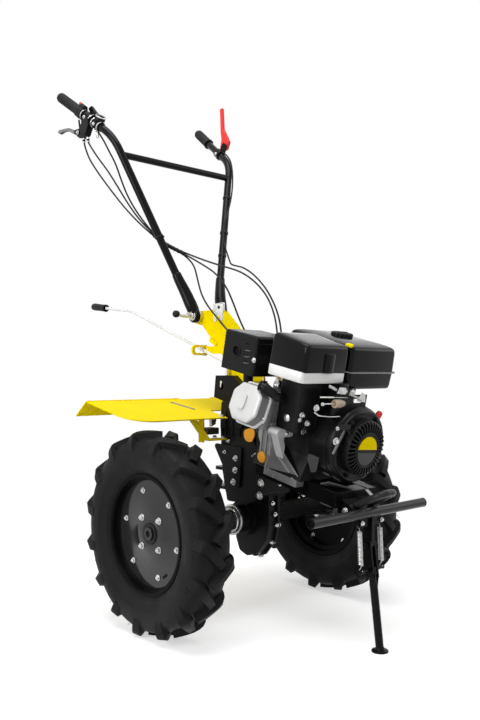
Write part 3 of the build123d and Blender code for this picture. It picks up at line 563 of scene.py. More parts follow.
def build_valve_cover():
    levels = [(211, 59, 55, 26), (212, 62, 58, 27), (216.6, 62, 58, 27), (217.6, 61, 57, 27),
              (217.8, 55.5, 52.5, 26), (220, 54.6, 51.6, 26), (243, 53.4, 50.4, 25.6),
              (246.4, 51.2, 48.2, 24.6), (247.8, 47.6, 44.6, 22.8), (248.2, 40, 37, 18.6)]
    # the side wall is a thin darker grey sheath laid over the silver cover's side: painted shade, the same
    # cover in a shaded tone
    shade_sheath_levels = [(218.0, 56.2, 53.2, 26), (220.4, 55.2, 52.2, 26), (242, 54.0, 51.0, 25.8)]
    cover = Shape().loft([at_x(head, reach, *octagon(*size)) for reach, *size in levels])
    shade_sheath = Shape().grid([at_x(head, reach, *octagon(*size)) for reach, *size in shade_sheath_levels], wrap_cols=True)
    piece("valve_cover_wall", shade_sheath, "cover_wall", slot="valve_cover", angle=20)
    out = (head(250, 0, 0) - head(240, 0, 0)).normalized()
    hook = [(-8, 20), (6, 20), (8, 0), (8, -10), (16, -12), (16, -20), (-4, -20), (-8, -8)]
    cover.prism(at_x(head, 246.5, *cut_corners(hook, 2, 0.2)), out * 0.0068)
    piece("valve_cover_pressed", cover, "valve_cover", replaces=("valve_cover",), bevel=0.8, angle=32)
    spots = at_x(head, 217.4, (57, -26), (-57, -26), (57, 26), (-57, 26))
    piece("valve_cover_bolts", Shape().same_bolts(spots, out, 7, 3.4, 5))


def build_cylinder():
    sections = [(88, 43, 43), (118, 44, 44)]
    for reach in (122, 133, 144):
        sections += [(reach, 45, 45), (reach + 0.6, 52, 50), (reach + 3.4, 52, 50), (reach + 4, 45, 45)]
    sections += [(155, 46, 46), (160, 50, 49), (163, 56, 52)]
    for reach in (172, 184):
        sections += [(reach, 57, 53), (reach + 0.6, 53, 50), (reach + 4, 53, 50), (reach + 4.6, 57, 53)]
    sections += [(209, 57, 53), (211, 56, 52)]
    block = Shape().loft([at_x(head, reach, *rounded(-b, b, -h, h, 9, 4)) for reach, b, h in sections])
    piece("cylinder_casting", block, "case_alloy", replaces=("cylinder",), slot="engine_casting", bevel=0.5,
          segments=1)
    back = way(0, 1, 0)
    lug = [(-199, 13), (-196, 22), (-186, 24.5), (-146, 22), (-138, 16), (-138, 6), (-146, 2), (-186, 4),
           (-196, 7)]
    cast = Shape().prism(at_y(eng, 139, *cut_corners(lug, 1)), back * 0.036)
    cast.prism(at_y(eng, 150, (-188, 14), (-168, 16), (-150, -24), (-150, -60), (-162, -40)), back * 0.026)
    cast.prism(at_y(eng, 176, (-192, 30), (-140, 34), (-128, -16), (-150, -20)), back * 0.014)
    cast.lathe([(0, 13), (16, 12.5), (18, 11), (18, 6.5), (10, 6.2)], eng(-150, 174, 34), AHEAD, 28)
    cast.lathe([(0, 9), (14, 8.6), (15, 8), (15, 0)], eng(-138, 186, 62), AHEAD, 24)
    piece("cylinder_lugs", cast, "alloy", slot="engine_casting", bevel=1.6)
    screws = Shape().bolts((eng(-140, 171, 62), AHEAD, 9, 4, 7), (eng(-163, 138.6, 13), AHEAD, 8, 3.5, 6.5),
                           (eng(-140, 206, 58), RIGHT, 8, 4, 7))
    piece("cylinder_screws", screws)


def round_crank(radius, turn, back):
    """Point round the crankshaft: turn from the top towards the left side."""
    return eng(radius * sin(turn), back, radius * cos(turn))


def build_recoil():
    centre, boss = eng(0, 0, 0), eng(-1.5, 0, -2.2)
    guard = Shape()
    for step in range(FINS):
        turn = tau * (step + 0.5) / FINS
        rows = []
        for (r0, b0), (r1, b1) in zip(FIN_OUT, FIN_IN):
            half = 1.4 + (r0 - 45) / 28 * 1.1
            rows.append([round_crank(r0, turn - half / r0, b0), round_crank(r0, turn + half / r0, b0),
                         round_crank(r1, turn + half / r1, b1), round_crank(r1, turn - half / r1, b1)])
        guard.loft(rows)
    guard.lathe([(-5, 66), (-5, 73), (-6.5, 74.4), (-26, 75), (-26, 66)], centre, AHEAD, 72)
    guard.lathe([(-6, 47.6), (3.0, 47.4), (4.2, 46), (4.4, 44.6), (3.4, 43.6), (-6, 43.4)], boss, AHEAD, 60)
    piece("recoil_guard", guard, "engine_black", replaces=("recoil_cover",), bevel=0.35, segments=1)
    # a near-black disc and lining behind the guard's ribs: painted shade of the recess
    turned("recoil_well_shade", [(-12.5, 0), (-12.5, 65), (-24, 65.4)], centre, AHEAD, 48, "pit",
           slot="engine_black")
    shift = eng(-3, 0, -4.5) - centre
    for name, mat, slot, low, high in (("recoil_disc_upper", "yellow_paint", "yellow_paint", -80, 88),
                                       ("recoil_disc_lower", "label_grey", "frame_black", 100, 268)):
        arc = [radians(low + (high - low) * i / 28) for i in range(29)]
        outline = [round_crank(38.5, turn, -4.8) + shift for turn in arc]
        middle = eng(0, -5.8, 0) + shift
        rows = [[p + AHEAD * -0.006 for p in outline], outline, [middle.lerp(p, 0.94) for p in outline]]
        piece(name, Shape().loft(rows), mat, slot=slot, bevel=0.4)
    turned("recoil_disc_seat", [(-6, 43.6), (2.2, 43.6), (2.2, 0)], boss, AHEAD, 48, "engine_black")
    rim = Shape().lathe([(-27, 98), (-24.5, 97), (-22.6, 94), (-22.8, 90), (-25, 87), (-28, 86)], centre,
                        AHEAD, 72)
    rim.lathe([(-52, 104), (-52.4, 106.4), (-55.6, 106.4), (-56, 104)], centre, AHEAD, 72)
    piece("fan_housing_beads", rim, "engine_black")
    spots = [round_crank(84, radians(turn), 22.5) for turn in (38, 142, 205, 322)]
    piece("recoil_bolts", Shape().same_bolts(spots, AHEAD, 8, 5, 7), "engine_black")
    cord = [round_crank(70, radians(300), 12), round_crank(92, radians(303), 10),
            round_crank(104, radians(305), 14)]
    pull = Shape().tube(arc_path(cord), 2.6, 8)
    pull.box(cord[-1], LEFT * 0.016, way(0, 1, 0) * 0.005, ABOVE * 0.006)
    piece("starter_handle", pull, "grip_rubber", bevel=2, segments=3)


def build_shroud_trim():
    bolts = Shape().lathe([(0, 0), (0, 10.5), (1.6, 10.2), (3.6, 7.5), (4.4, 3.5), (4.4, 0)],
                          eng(-170, 140, 55), RIGHT, 28)
    bolts.bolts((eng(-156, 104, 71), AHEAD, 10, 6, 8, 3), (eng(-160, 104, 58), AHEAD, 8, 3, 7),
                (eng(-131, 104, 48), AHEAD, 11, 6, 9, 3.2, 0.5))
    bolts.lathe([(0, 0), (0, 9.5), (1.4, 9.2), (1.4, 0)], eng(-139, 104, 27), AHEAD, 24)
    piece("shroud_bolts", bolts)
    seam = Shape().box(eng(-115, 103.2, 33), LEFT * 0.050, AHEAD * 0.0012, ABOVE * 0.0016)
    seam.box(eng(-100, 103.2, 92), LEFT * 0.0015, AHEAD * 0.0012, ABOVE * 0.055)
    piece("shroud_seams", seam, "engine_black", bevel=0.8)


def build_tank():
    levels = [(140.4, 9), (141.6, 5.5), (144.6, 3), (152, 1.6), (170, 0.8), (185.4, 0), (185.6, -5.0),
              (186.4, -5.8), (189.6, -5.8), (190.4, -5.0), (190.6, -0.2), (196, 0), (238, 0.8), (245.5, 1.8),
              (250.4, 3.8), (253.6, 7.2), (255.6, 12), (258.6, 26), (261.6, 46), (263.0, 70)]
    piece("fuel_tank_pressed", eng_loft((-30, 166), (76, 314), levels, 14, 0.05), "tank_black",
          replaces=("fuel_tank",), bevel=0.6)
    # light grey bead round the black tank's seam: painted highlight along the seam
    edge = [eng(px, pb, 188 + 0.02 * (pb - 76)) for px, pb in rounded(-35.2, 171.2, 70.8, 319.2, 15)]
    piece("fuel_tank_crimp", Shape().tube(edge + [edge[0]], 1.7, 8), "seam_highlight_grey", slot="tank_black")
    levels = [(262, 29, 0), (269, 31, 3.0), (275, 31, 3.0), (277, 29.4, 1.8), (278, 25, 0), (278.2, 8, 0)]
    back = way(0, 1, 0)
    cap = ribbed(levels, eng(60, 195, 0), (ABOVE, LEFT, back), 96, 6)
    cap.box(eng(60, 195, 278.4), LEFT * 0.019, back * 0.004, ABOVE * 0.0016)
    piece("fuel_cap_ribbed", cap, "grip_rubber", replaces=("fuel_cap",), slot="tank_black", bevel=0.4,
          segments=1)
    accent = Shape().box(eng(-33, 86, 259), way(1, 0, 0.2) * 0.006, way(0, 1, 0.05) * 0.011, ABOVE * 0.003)
    piece("tank_accent", accent, "yellow_paint", bevel=1)
    spots = at_z(eng, 100, (-8, 132), (72, 132), (-8, 262), (72, 262))
    piece("tank_bracket_bolts", Shape().same_bolts(spots, AHEAD, 10, 5, 8))


def build_air_cleaner():
    levels = [(187, 0.5), (188, 0), (240, 0.8), (248.5, 1.8), (252.6, 3.4), (255.2, 6.4), (257, 11),
              (258.4, 24), (259, 40)]
    cover = eng_loft((-203, -41), (74, 206), levels, 11, 0.11)
    rib = []
    for height, grow in ((187.5, 1.0), (189, 1.0), (234, 1.0), (235.8, 0.94), (236.6, 0.8), (236.9, 0.3)):
        arc = [pi * i / 10 for i in range(11)]
        rib.append([eng(-116 - 19 * grow * cos(t), 76 - 10 * grow * sin(t) ** 0.7, height) for t in arc])
    cover.loft(rib)
    piece("air_cleaner_shell", cover, "tank_black", replaces=("air_cleaner",), slot="engine_black", bevel=0.7)
    levels = [(159, 3), (160, 1), (162, 0), (185, 0), (186.6, 1), (187.4, 3)]
    piece("air_cleaner_band", eng_loft((-205, -41), (75, 205.5), levels, 13), "silver_trim",
          replaces=("air_cleaner_base",), bevel=0.5)


def build_muffler():
    place = eng(-200, 334, 194)
    turned("muffler_outlet_ring", [(-12, 13.2), (1.4, 13.2), (2.2, 14), (2.2, 15.6), (1.2, 16.6), (-1, 16.8)],
           place, RIGHT, 36, "engine_black")
    # near-black disc and lining inside the outlet: painted shade in the pipe
    inner = Shape().lathe([(-3, 11.4), (-3, 0)], place, RIGHT, 24)
    inner.lathe([(-13, 12.6), (-1, 12.6), (-1, 11.2), (-13, 11.2)], place, RIGHT, 24)
    piece("muffler_outlet_shade", inner, "pit", slot="engine_black")
    lips = Shape()
    for height in (171, 188, 205):
        lips.prism([eng(-199.5, 300, height - 2), eng(-199.5, 278, height - 0.5),
                    eng(-203.4, 280, height - 3.2), eng(-203.4, 298, height - 4.6)], ABOVE * 0.0014)
    piece("muffler_louvres", lips, "lip_grey", slot="engine_black", bevel=0.3, segments=1)
    piece("muffler_screws", Shape().bolt(eng(-200, 261, 182), RIGHT, 8, 4, washer=7))
    path = at_z(eng, 226, *rounded(-200.6, -61.4, 257.4, 392.6, 8, 4))
    piece("muffler_seam", Shape().tube(path + [path[0]], 0.9, 6), "engine_black")


def build_ignition():
    base = head(196, -2, 34)
    up = (head(196, -2, 60) - base).normalized()
    plug = Shape().lathe([(0, 0), (0, 12), (8, 12), (9, 10)], base, up, 6)
    plug.lathe([(9, 9), (16, 8.6), (17, 6), (24, 5.5)], base, up, 20)
    piece("spark_plug", plug)
    path = arc_path([eng(-224, 200, 128), eng(-216, 184, 124), eng(-206, 166, 112), eng(-192, 160, 103),
                     eng(-166, 158, 99)])
    cap = Shape().tube(path, [10.0, 11.6] + [12.0] * (len(path) - 6) + [10.6, 10.2, 10.0, 9.6], 20)
    for spot in (path[0], path[3]):
        cap.lathe([(-2.4, 10), (-2, 13.4), (2, 13.4), (2.4, 10)], spot, path[3] - path[0], 24)
    cap.tube([base + up * 0.016, eng(-206, 190, 118)], 9.0, 14)
    piece("spark_plug_elbow", cap, "engine_black", replaces=("spark_plug_cap",), bevel=0.5)
    path = arc_path([eng(-164, 160, 100), eng(-148, 168, 106), eng(-122, 168, 130), eng(-104, 160, 146)],
                    0.45)
    piece("spark_lead", Shape().tube(path, 3.6), "cable_black")
    outline = at_x(eng, -150, (206, 112), (226, 112), (226, 128), (219, 143), (212, 143), (206, 130))
    tab = Shape().prism(outline, LEFT * 0.0025).bolt(eng(-150, 216, 121), RIGHT, 10, 5, washer=8)
    piece("engine_lift_tab", tab, bevel=0.6)


def build_linkage():
    rods = Shape().tube([eng(-150, 56, 129), eng(-46, 56, 126)], 2.2)
    rods.tube([eng(-140, 52, 112), eng(-98, 52, 112)], 1.8)
    path = [eng(-160, 60, 90), eng(-150, 52, 82), eng(-112, 50, 78), eng(-72, 48, 78), eng(-64, 48, 70)]
    rods.tube(arc_path(path), 1.8)
    rods.lathe([(-4, 0), (-3.4, 2.6), (0, 4), (3.4, 2.6), (4, 0)], eng(-64, 48, 69), AHEAD, 16)
    rods.bolts((eng(-158, 58, 101), AHEAD, 10, 6, 9), (eng(-144, 52, 112), AHEAD, 7, 4, 5))
    piece("throttle_rods", rods)
    place = eng(-98, 50, 112)
    cap = Shape().lathe([(-3, 0), (-3, 5), (0.5, 5.6), (2.4, 7), (2.4, 9.6), (0.6, 11), (-18, 11), (-24, 10),
                         (-34, 7.6), (-36, 5), (-36, 0)], place, RIGHT, 28)
    cap.lathe([(1, 3.2), (3.4, 3.0), (3.4, 0)], place, RIGHT, 12)
    piece("idle_cap", cap, "beige_plastic", slot="silver_trim", bevel=0.4)
    thick = AHEAD * -0.002
    plate = Shape().prism(at_y(eng, 52, (-92, 138), (-60, 135), (-52, 143), (-62, 153), (-84, 154)), thick)
    plate.prism(at_y(eng, 50, (-44, 137), (-26, 134), (-22, 143), (-40, 147)), thick)
    plate.bolts((eng(-76, 52, 145), AHEAD, 10, 5, 9), (eng(-34, 50, 141), AHEAD, 9, 5, 8))
    plate.prism(at_y(eng, 50, (-10, 116), (26, 112), (22, 132), (8, 140)), thick)
    piece("throttle_plates", plate, "silver_trim", bevel=0.5)
    spring = Shape()
    for a, b, turns in (((-128, 52, 158), (-100, 50, 148), 9), ((-48, 48, 136), (6, 48, 120), 14)):
        spring.tube(coil(eng(*a), eng(*b), 3.2, turns), 0.7, 6)
    piece("governor_springs", spring)
    slab("choke_lever", at_y(eng, 24, (-79, 50), (-71, 46), (-104, -14), (-111, -11)), AHEAD * 0.0026,
         "dim_steel", slot="silver_trim", bevel=0.6)
    bolts = Shape().bolts((eng(-103, 24, 21), AHEAD, 12, 6, 10), (eng(-104, 24, 55), AHEAD, 8, 4, 6))
    piece("choke_bolts", bolts)
    base = eng(72, 42, 66)
    up = eng(80, 38, 84) - base
    turned("stop_switch", [(3, 0), (3, 8.8), (6, 9.6), (20, 8.8), (24.5, 6.4), (26.6, 0)], base, up, 24,
           "red_plastic", bevel=0.6)
    turned("stop_switch_base", [(-8, 10), (3, 10), (4, 9), (4.4, 0)], base, up, 24, "engine_black", bevel=0.6)


def build_case_trim():
    outline = cut_corners([(240, -106), (262, -88), (280, -56), (296, -34), (292, -4), (256, 2), (222, -4),
                           (214, -30), (222, -60), (212, -92)], 2, 0.2)
    rows = [at_x(eng, x, *((232 + (b - 232) * grow, -52 + (h + 52) * grow) for b, h in outline))
            for x, grow in ((-84, 1.04), (-108, 1.0), (-113, 0.95), (-114.5, 0.86))]
    cover = Shape().loft(rows)
    for b in (232, 250, 268):
        cover.prism(at_x(eng, -113, (b - 2.4, -78), (b + 2.4, -78), (b + 5.4, -14), (b + 0.6, -14)),
                    RIGHT * 0.008)
    cover.lathe([(0, 10), (8, 9.6), (9.6, 8), (9.6, 0)], eng(-113, 240, -16), RIGHT, 24)
    cover.lathe([(0, 8), (6, 7.6), (7.6, 6), (7.6, 0)], eng(-113, 236, -72), RIGHT, 24)
    piece("crankcase_side", cover, "alloy_dim", slot="engine_casting", bevel=1.4)
    face = at_x(eng, -117.4, (118, -98), (205, -36), (226, -24), (236, -60), (244, -113))
    web = Shape().prism(face, RIGHT * 0.0012)
    for a, b in (((117, -101), (205, -37)), ((205, -37), (226, -25)), ((150, -100), (206, -66)),
                 ((226, -25), (243, -113))):
        web.tube(at_x(eng, -118.6, a, b), 2.2, 8)
    foot = [(-119.6, 119), (-121, 121), (-121, 240), (-119.6, 243), (-90, 243), (-90, 119)]
    web.prism(at_z(eng, -131.4, *foot), ABOVE * 0.019)
    for b in (138, 229):
        web.lathe([(0, 13), (2.4, 12.6), (3, 11), (3, 0)], eng(-106, b, -112.6), ABOVE, 24)
    web.prism(at_x(eng, -121, (200, -131), (204, -122), (210, -131)), RIGHT * 0.002)
    piece("crankcase_web", web, "case_alloy", slot="engine_casting", bevel=1.2)
    studs = Shape()
    for b in (229, 138):
        studs.bolt(eng(-107, b, -109.6), ABOVE, 12, 8, washer=9, stud=4)
        studs.lathe([(0, 3.6), (22, 3.6), (23, 2.8), (23, 0)], eng(-107, b, -109.6), ABOVE, 14)
    for b in (229, 138):
        studs.bolt(eng(110, b, -108), ABOVE, 12, 8, washer=9, stud=4)
    piece("engine_mount_bolts", studs)
    levels = [(0, 12, 0), (4, 13, 0), (5, 17.6, 1.2), (18, 17.0, 1.2), (22, 14.5, 0.5), (23.5, 9, 0),
              (24, 3, 0)]
    plug = ribbed(levels, eng(-100, 262, -92), (way(-1, -0.1, 0.15), way(0, 1, 0), ABOVE), 60, 5)
    piece("oil_filler_cap", plug, "orange_plastic", slot="yellow_paint", bevel=0.5, segments=1)
    slab("drain_lever", at_x(eng, -118, (300, -98), (286, -84), (283, -88), (296, -101)), RIGHT * 0.003,
         bevel=0.5)
    face = cut_corners([(-94, 556), (-52, 548), (-50, 530), (-60, 514), (-84, 512), (-98, 532)], 2, 0.22)
    slab("rear_filler_plug", at_x(at, -64, *face), RIGHT * 0.006, "orange_plastic", slot="yellow_paint",
         bevel=1.6, segments=3)


# ---------------------------------------------------------------- gearbox and frame
def build_gearbox_trim():
    bolts = Shape()
    for y, z, size in ((-15, 461, 11), (-13, 426, 12), (-5, 390, 12), (33, 476, 7), (17, 510, 6)):
        bolts.bolt(at(-68, y, z), RIGHT, size, 5.5, washer=size * 0.8, stud=size * 0.3, turn=y * 0.1)
        bolts.bolt(at(68, y, z), LEFT, size, 5.5, washer=size * 0.8, turn=y * 0.1)
    for y, z in ((-137, 402), (-131, 365)):
        bolts.bolt(at(-82, y, z), RIGHT, 14, 7, washer=11.5, stud=4.5, turn=z)
        bolts.bolt(at(82, y, z), LEFT, 14, 7, washer=11.5, turn=z)
    for y, z in ((-95, 330), (-89, 310), (-100, 293), (-111, 267), (-89, 214), (-40, 166), (22, 176)):
        bolts.bolt(at(9, y, z), RIGHT, 9, 5, washer=7, stud=3)
        bolts.bolt(at(15, y, z), LEFT, 9, 4, washer=7)
    piece("gearbox_bolts", bolts)
    collar = [(0, 30.4), (0, 44.6), (1.2, 45.8), (7, 45.8), (8.4, 44), (9.4, 38), (14, 36.8), (14, 30.2)]
    for side, name in SIDES:
        turned(f"axle_collar_{name}", collar, at(side * 68, 0, TYRE), LEFT * side, 56, "bright_steel",
               f"wheel_{name}", bevel=0.4)
    ribs = Shape()
    for y in (-58, -28, 4, 34):
        ribs.prism(at_x(at, -62, (y - 2, 600), (y + 2, 600), (y + 2, 524), (y - 2, 524)), RIGHT * 0.004)
    ribs.tube(arc_path([at(-58, -96, 596), at(-58, -104, 540), at(-60, -112, 470), at(-60, -112, 420)]), 9,
              14)
    ribs.lathe([(0, 14), (5, 14), (7, 12), (7, 0)], at(-62, -30, 560), RIGHT, 6)
    piece("gearbox_ribs", ribs, "gearbox_casting", bevel=1.2)
    spots = at_y(at, -112, (-11, 333.5), (-1, 300))
    piece("leg_flange_bolts", Shape().same_bolts(spots, FRONT, 8, 5, 6.5))
    plug = Shape().bolts((at(-22, 40, 250), RIGHT, 17, 8, 12), (at(22, 40, 250), LEFT, 17, 8, 12),
                         (at(0, 36, 300), -FRONT, 15, 8, 11))
    piece("gearbox_plugs", plug, "dim_steel", slot="gearbox_casting")
    turned("hitch_pin", [(0, 0), (0, 9), (66, 9), (72, 12), (78, 12), (80, 10), (80, 0)], at(0, 104, 350), UP,
           28)


def build_frame_trim():
    slab("frame_strip", at_z(eng, -118, (90, 96), (104, 100), (12, -42), (-2, -42)), ABOVE * 0.002,
         "pale_steel", slot="frame_black", bevel=0.5)
    plates = Shape().prism(at_z(eng, -158, (-82, 60), (-20, 60), (-20, 22), (-82, 22)), ABOVE * 0.003)
    plates.prism(at_x(eng, -97, (90, 8), (74, -26), (78, -78), (94, -84), (116, -50)), LEFT * 0.004)
    plates.prism([eng(-96, 30, -92), eng(-40, 8, -106), eng(-20, 14, -112), eng(-70, 60, -112),
                  eng(-98, 56, -104)], ABOVE * 0.004)
    piece("frame_plates", plates, "plate_grey", slot="frame_black", bevel=0.8)
    welds = Shape()
    rng = random.Random(11)
    for x in (-43, -81, 43, 81):
        path = [eng(x + rng.uniform(-0.6, 0.6), 12 + i * 12, -115.5 + rng.uniform(-0.4, 0.4))
                for i in range(4)]
        welds.tube(path, 1.8, 8)
    piece("frame_welds", welds, "frame_black")
    bolts = Shape()
    bolts.same_bolts(at_z(eng, -157, (-62, 137), (-62, 229), (62, 137), (62, 229)), -ABOVE, 13, 7, 11, 4)
    bolts.bolts((at(-57, -424, 358), RIGHT, 12, 6, 9), (at(57, -424, 358), LEFT, 12, 6, 9))
    piece("frame_bolts", bolts)
    ends, hollow_shade, seams = Shape(), Shape(), Shape()
    for side in (-1, 1):
        tip = at(side * 233, -462, 352)
        ends.lathe([(-3, 12.9), (0, 12.9), (1.2, 12), (1.2, 10.4), (-1, 10), (-4, 9.9)], tip, LEFT * side, 32)
        hollow_shade.lathe([(-6, 9.8), (-6, 0)], tip, LEFT * side, 24)
        seams.lathe([(-3, 9.2), (-1.5, 11.5), (1.5, 11.5), (3, 9.2)], at(side * 30, -424, 363),
                    (0, -0.9, 0.43), 24)
    # the bumper tube's end rings in near-black instead of the bumper enamel: painted shade
    piece("bumper_ends_shaded", ends, "rim_dark", slot="frame_black")
    # near-black disc inside each bumper end: painted shade in the hollow
    piece("bumper_hollow_shade", hollow_shade, "pit", slot="frame_black")
    piece("loop_welds", seams, "frame_black")


def build_stand():
    for side, name in SIDES:
        top, low = at(side * 42, -458, 317.7), at(side * 42, -463, 212)
        down = (low - top).normalized()
        turns = coil(top + down * 0.010, low - down * 0.010, 5.6, 27)
        eye, hook = Vector((0, 0.005, 0)), Vector((-0.001, -0.005, 0))
        path = [top + UP * 0.004 + hook, top + UP * 0.008, top + UP * 0.003 + eye * 1.2, top - UP * 0.004,
                *turns, low + UP * 0.004, low - UP * 0.003 + eye, low - UP * 0.008, low - UP * 0.004 - eye]
        item = piece(f"stand_spring_{name}", Shape().tube(path, 1.25, 7), "bright_steel", None,
                     ("stand_springs",))
        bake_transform(item)
    trim = Shape()
    for side in (-1, 1):
        trim.bolt(at(side * 16, -455, 268), LEFT * side, 12, 7, washer=9)
        trim.lathe([(-3, 4.4), (0, 6), (2.6, 6), (3.6, 5), (3.6, 0)], at(side * 45, -464, 205), LEFT * side,
                   20)
    piece("stand_hardware", trim, "frame_black", "front_stand")
    foot = Shape().lathe([(0.2, 14), (0.2, 21.4), (1.4, 22.2), (3.6, 22), (5.0, 20.6), (5.6, 13), (8.5, 11.6),
                          (12, 10.8), (12, 9)], at(0, -490, 0), UP, 44)
    foot.lathe([(-3, 10), (-1.5, 12.4), (1.5, 12.4), (3, 10)], at(0, -467, 196), (0, -0.12, -1), 28)
    for side in (-1, 1):
        foot.prism(at_x(at, side * 5, (-470, 196), (-462, 168), (-474, 120), (-482, 196)),
                   LEFT * 0.003 * side)
    piece("stand_foot", foot, "frame_black", "front_stand", bevel=0.4)
    spots = at_y(at, -466, (-40, 329), (40, 329))
    piece("stand_ear_pins", Shape().same_bolts(spots, FRONT, 8, 4, 6))


# ---------------------------------------------------------------- fenders
FENDER_PITCH, FENDER_RISE = radians(12), 19
FENDER_TURN = (324, 25, 84)     # where a front corner's curve starts, x and y, and its radius


def fender(x, y, up=0.0):
    """Point on a fender's top: y behind the axle along its slope."""
    c, s = cos(FENDER_PITCH), sin(FENDER_PITCH)
    return at(x, y * c - up * s, 2 * TYRE + FENDER_RISE + y * s + up * c)


def build_fenders():
    out = (fender(0, 100, 1) - fender(0, 100)).normalized()
    mark = at_z(fender, 0.15, (-136, 222), (-124, 226), (-104, 130), (-116, 126))
    slab("fender_mark", mark, out * 0.0004, "plate_grey", slot="yellow_paint")
    core = at_z(fender, 0.6, (-132, 212), (-127, 214), (-112, 140), (-117, 138))
    slab("fender_mark_core", core, out * 0.0003, "pale_steel", slot="yellow_paint")
    bolts, beads = Shape(), Shape()
    x0, y0, radius = FENDER_TURN
    for side in (-1, 1):
        bolts.bolt(fender(side * 78, 38, 0.2), out, 10, 4.5, washer=9, turn=116)
        bolts.bolt(fender(side * 78, 38, -3), -out, 10, 5, washer=8)
        for y in (36, 74):
            bolts.bolt(at(side * 74, y, 517.5), UP, 11, 5, washer=9)
        beads.tube(at_z(fender, 0.4, (side * 66, 266), (side * 409, 266)), 1.6, 8)
        turns = [radians(a) for a in range(6, 91, 12)]
        corner = [(side * (x0 + radius * sin(t)), y0 + radius * (1 - cos(t))) for t in turns]
        beads.tube(at_z(fender, -2.4, (side * 68, y0), (side * x0, y0), *corner, (side * 408.4, 264)), 1.3, 8)
    piece("fender_bolts", bolts)
    piece("fender_edges", beads, "yellow_paint")
    slab("brace_spacer", at_x(at, -68, (60, 548), (100, 548), (100, 528), (60, 528)), RIGHT * 0.048,
         "plate_grey", slot="frame_black", bevel=2)
    slab("fender_bridge", at_z(fender, -3, (-67, 108), (-67, 262), (67, 262), (67, 108)), out * 0.003,
         "yellow_paint", bevel=0.6)
    slab("brace_clip", at_y(at, 62, (-96, 552), (-80, 558), (-76, 576), (-98, 574)), -FRONT * 0.012, bevel=1)


# ---------------------------------------------------------------- handlebar
HANDLE_BEND, HANDLE_END = (248, 368, 1468), (301, 612, 1646)
PIVOT_Y, PIVOT_Z = 190, 894
SLEEVE = [(53, 190, 892, 14.0), (56, 191, 897, 17.5), (60, 196, 914, 19.4), (65, 205, 936, 19.6),
          (70, 214, 958, 18.8), (78, 224, 984, 17.4), (87, 234, 1010, 16.0), (92.4, 239.5, 1027, 15.0),
          (93, 240, 1029, 14.6), (93.4, 240.4, 1030, 13.0)]
GRIP_RIBS, RIB_PITCH = 12, 7.2


def grip_place(side, distance):
    """Point in metres on a handle tube's axis, at this distance in mm from the grip's end."""
    end = at(side * HANDLE_END[0], *HANDLE_END[1:])
    bend = at(side * HANDLE_BEND[0], *HANDLE_BEND[1:])
    return end + (bend - end).normalized() * distance * MM


def build_grips():
    profile = [(0, 12.7), (0, 18.2), (1.5, 19), (4, 19), (5.5, 17.6)]
    for step in range(GRIP_RIBS):
        reach = 8 + step * RIB_PITCH
        profile += [(reach, 16.9), (reach + 4.6, 16.9), (reach + 5.2, 16.2), (reach + 6.6, 16.2)]
    profile += [(98, 17), (104, 16.8), (109, 15), (111.4, 11.5), (112.4, 6), (112.6, 0)]
    for side, name in SIDES:
        start = grip_place(side, 112)
        along, across, other = square_to(grip_place(side, 0) - start)
        grip = Shape().lathe(profile, start, along, 36)
        for turn in range(0, 360, 60):
            edge = start + spoke(across, other, radians(turn)) * 0.0166
            grip.tube([edge + along * 0.010, edge + along * 0.094], 1.1, 6)
        piece(f"grip_{name}", grip, "grip_rubber", "handlebar", ("grips",), bevel=0.3, segments=1, angle=50)


def build_sleeves():
    hub_profile = [(0, 18), (0.4, 20), (2, 21.4), (13, 21.4), (15.4, 20), (16.4, 17.4), (16.4, 9)]
    for side, name in SIDES:
        boot = Shape().tube([at(side * x, y, z) for x, y, z, _ in SLEEVE], [row[3] for row in SLEEVE], 28)
        boot.lathe(hub_profile, at(side * 50.3, PIVOT_Y, PIVOT_Z), LEFT * side, 40)
        piece(f"handle_sleeve_{name}", boot, "tube_black", "handlebar", ("handle_sleeves",), "engine_black")


def build_pivot():
    hub = at(0, PIVOT_Y, PIVOT_Z)
    steel = Shape().lathe([(66, 0), (66, 15), (68.5, 15), (69, 13.5), (69, 11), (74, 11), (75.5, 9),
                           (75.5, 0)], hub, RIGHT, 28)
    steel.tube(at_y(at, PIVOT_Y, (-72, 894), (-96, 891), (-112, 892), (-126, 896)), [5.4, 5.0, 4.4, 4.2], 14)
    steel.lathe([(74, 9), (78, 9.4), (82, 8), (82, 4)], hub, RIGHT, 6)
    steel.bolt(at(62, PIVOT_Y, PIVOT_Z), LEFT, 17, 9, washer=14, stud=6)
    steel.box(at(-78, 190, 902), Vector((0.010, 0, 0.002)), FRONT * -0.006, Vector((-0.0008, 0, 0.0035)))
    piece("pivot_hardware", steel, "bright_steel", "handlebar", bevel=0.4)
    knob = [(-11, 5), (-10.4, 6.4), (-8.6, 8.6), (-5, 10.6), (0, 11.4), (5, 10.6), (8.6, 7.6), (10.6, 4),
            (11.2, 0)]
    turned("clamp_knob", knob, at(-133, 190, 897), RIGHT, 28, "grip_rubber", "handlebar", ("clamp_lever",))
    outline = [(120, 929), (72, 926), (77, 875), (88, 875), (92, 892), (104, 892), (108, 873), (117, 873)]
    slab("pivot_ear_plate", at_x(at, -39, *outline), RIGHT * 0.003, "silver_trim", bevel=0.6)
    # a near-black disc on the ear plate where its hole is: painted shade of the hole
    turned("pivot_ear_hole_shade", [(0, 5.2), (0.5, 5.2), (0.5, 0)], at(-42, 92, 917), RIGHT, 24, "pit",
           slot="silver_trim")
    ear = Shape().bolts((at(51.6, 196, 930), LEFT, 10, 4, 8), (at(51.6, 176, 902), LEFT, 8, 3, 6))
    piece("pivot_ear_bolts", ear)


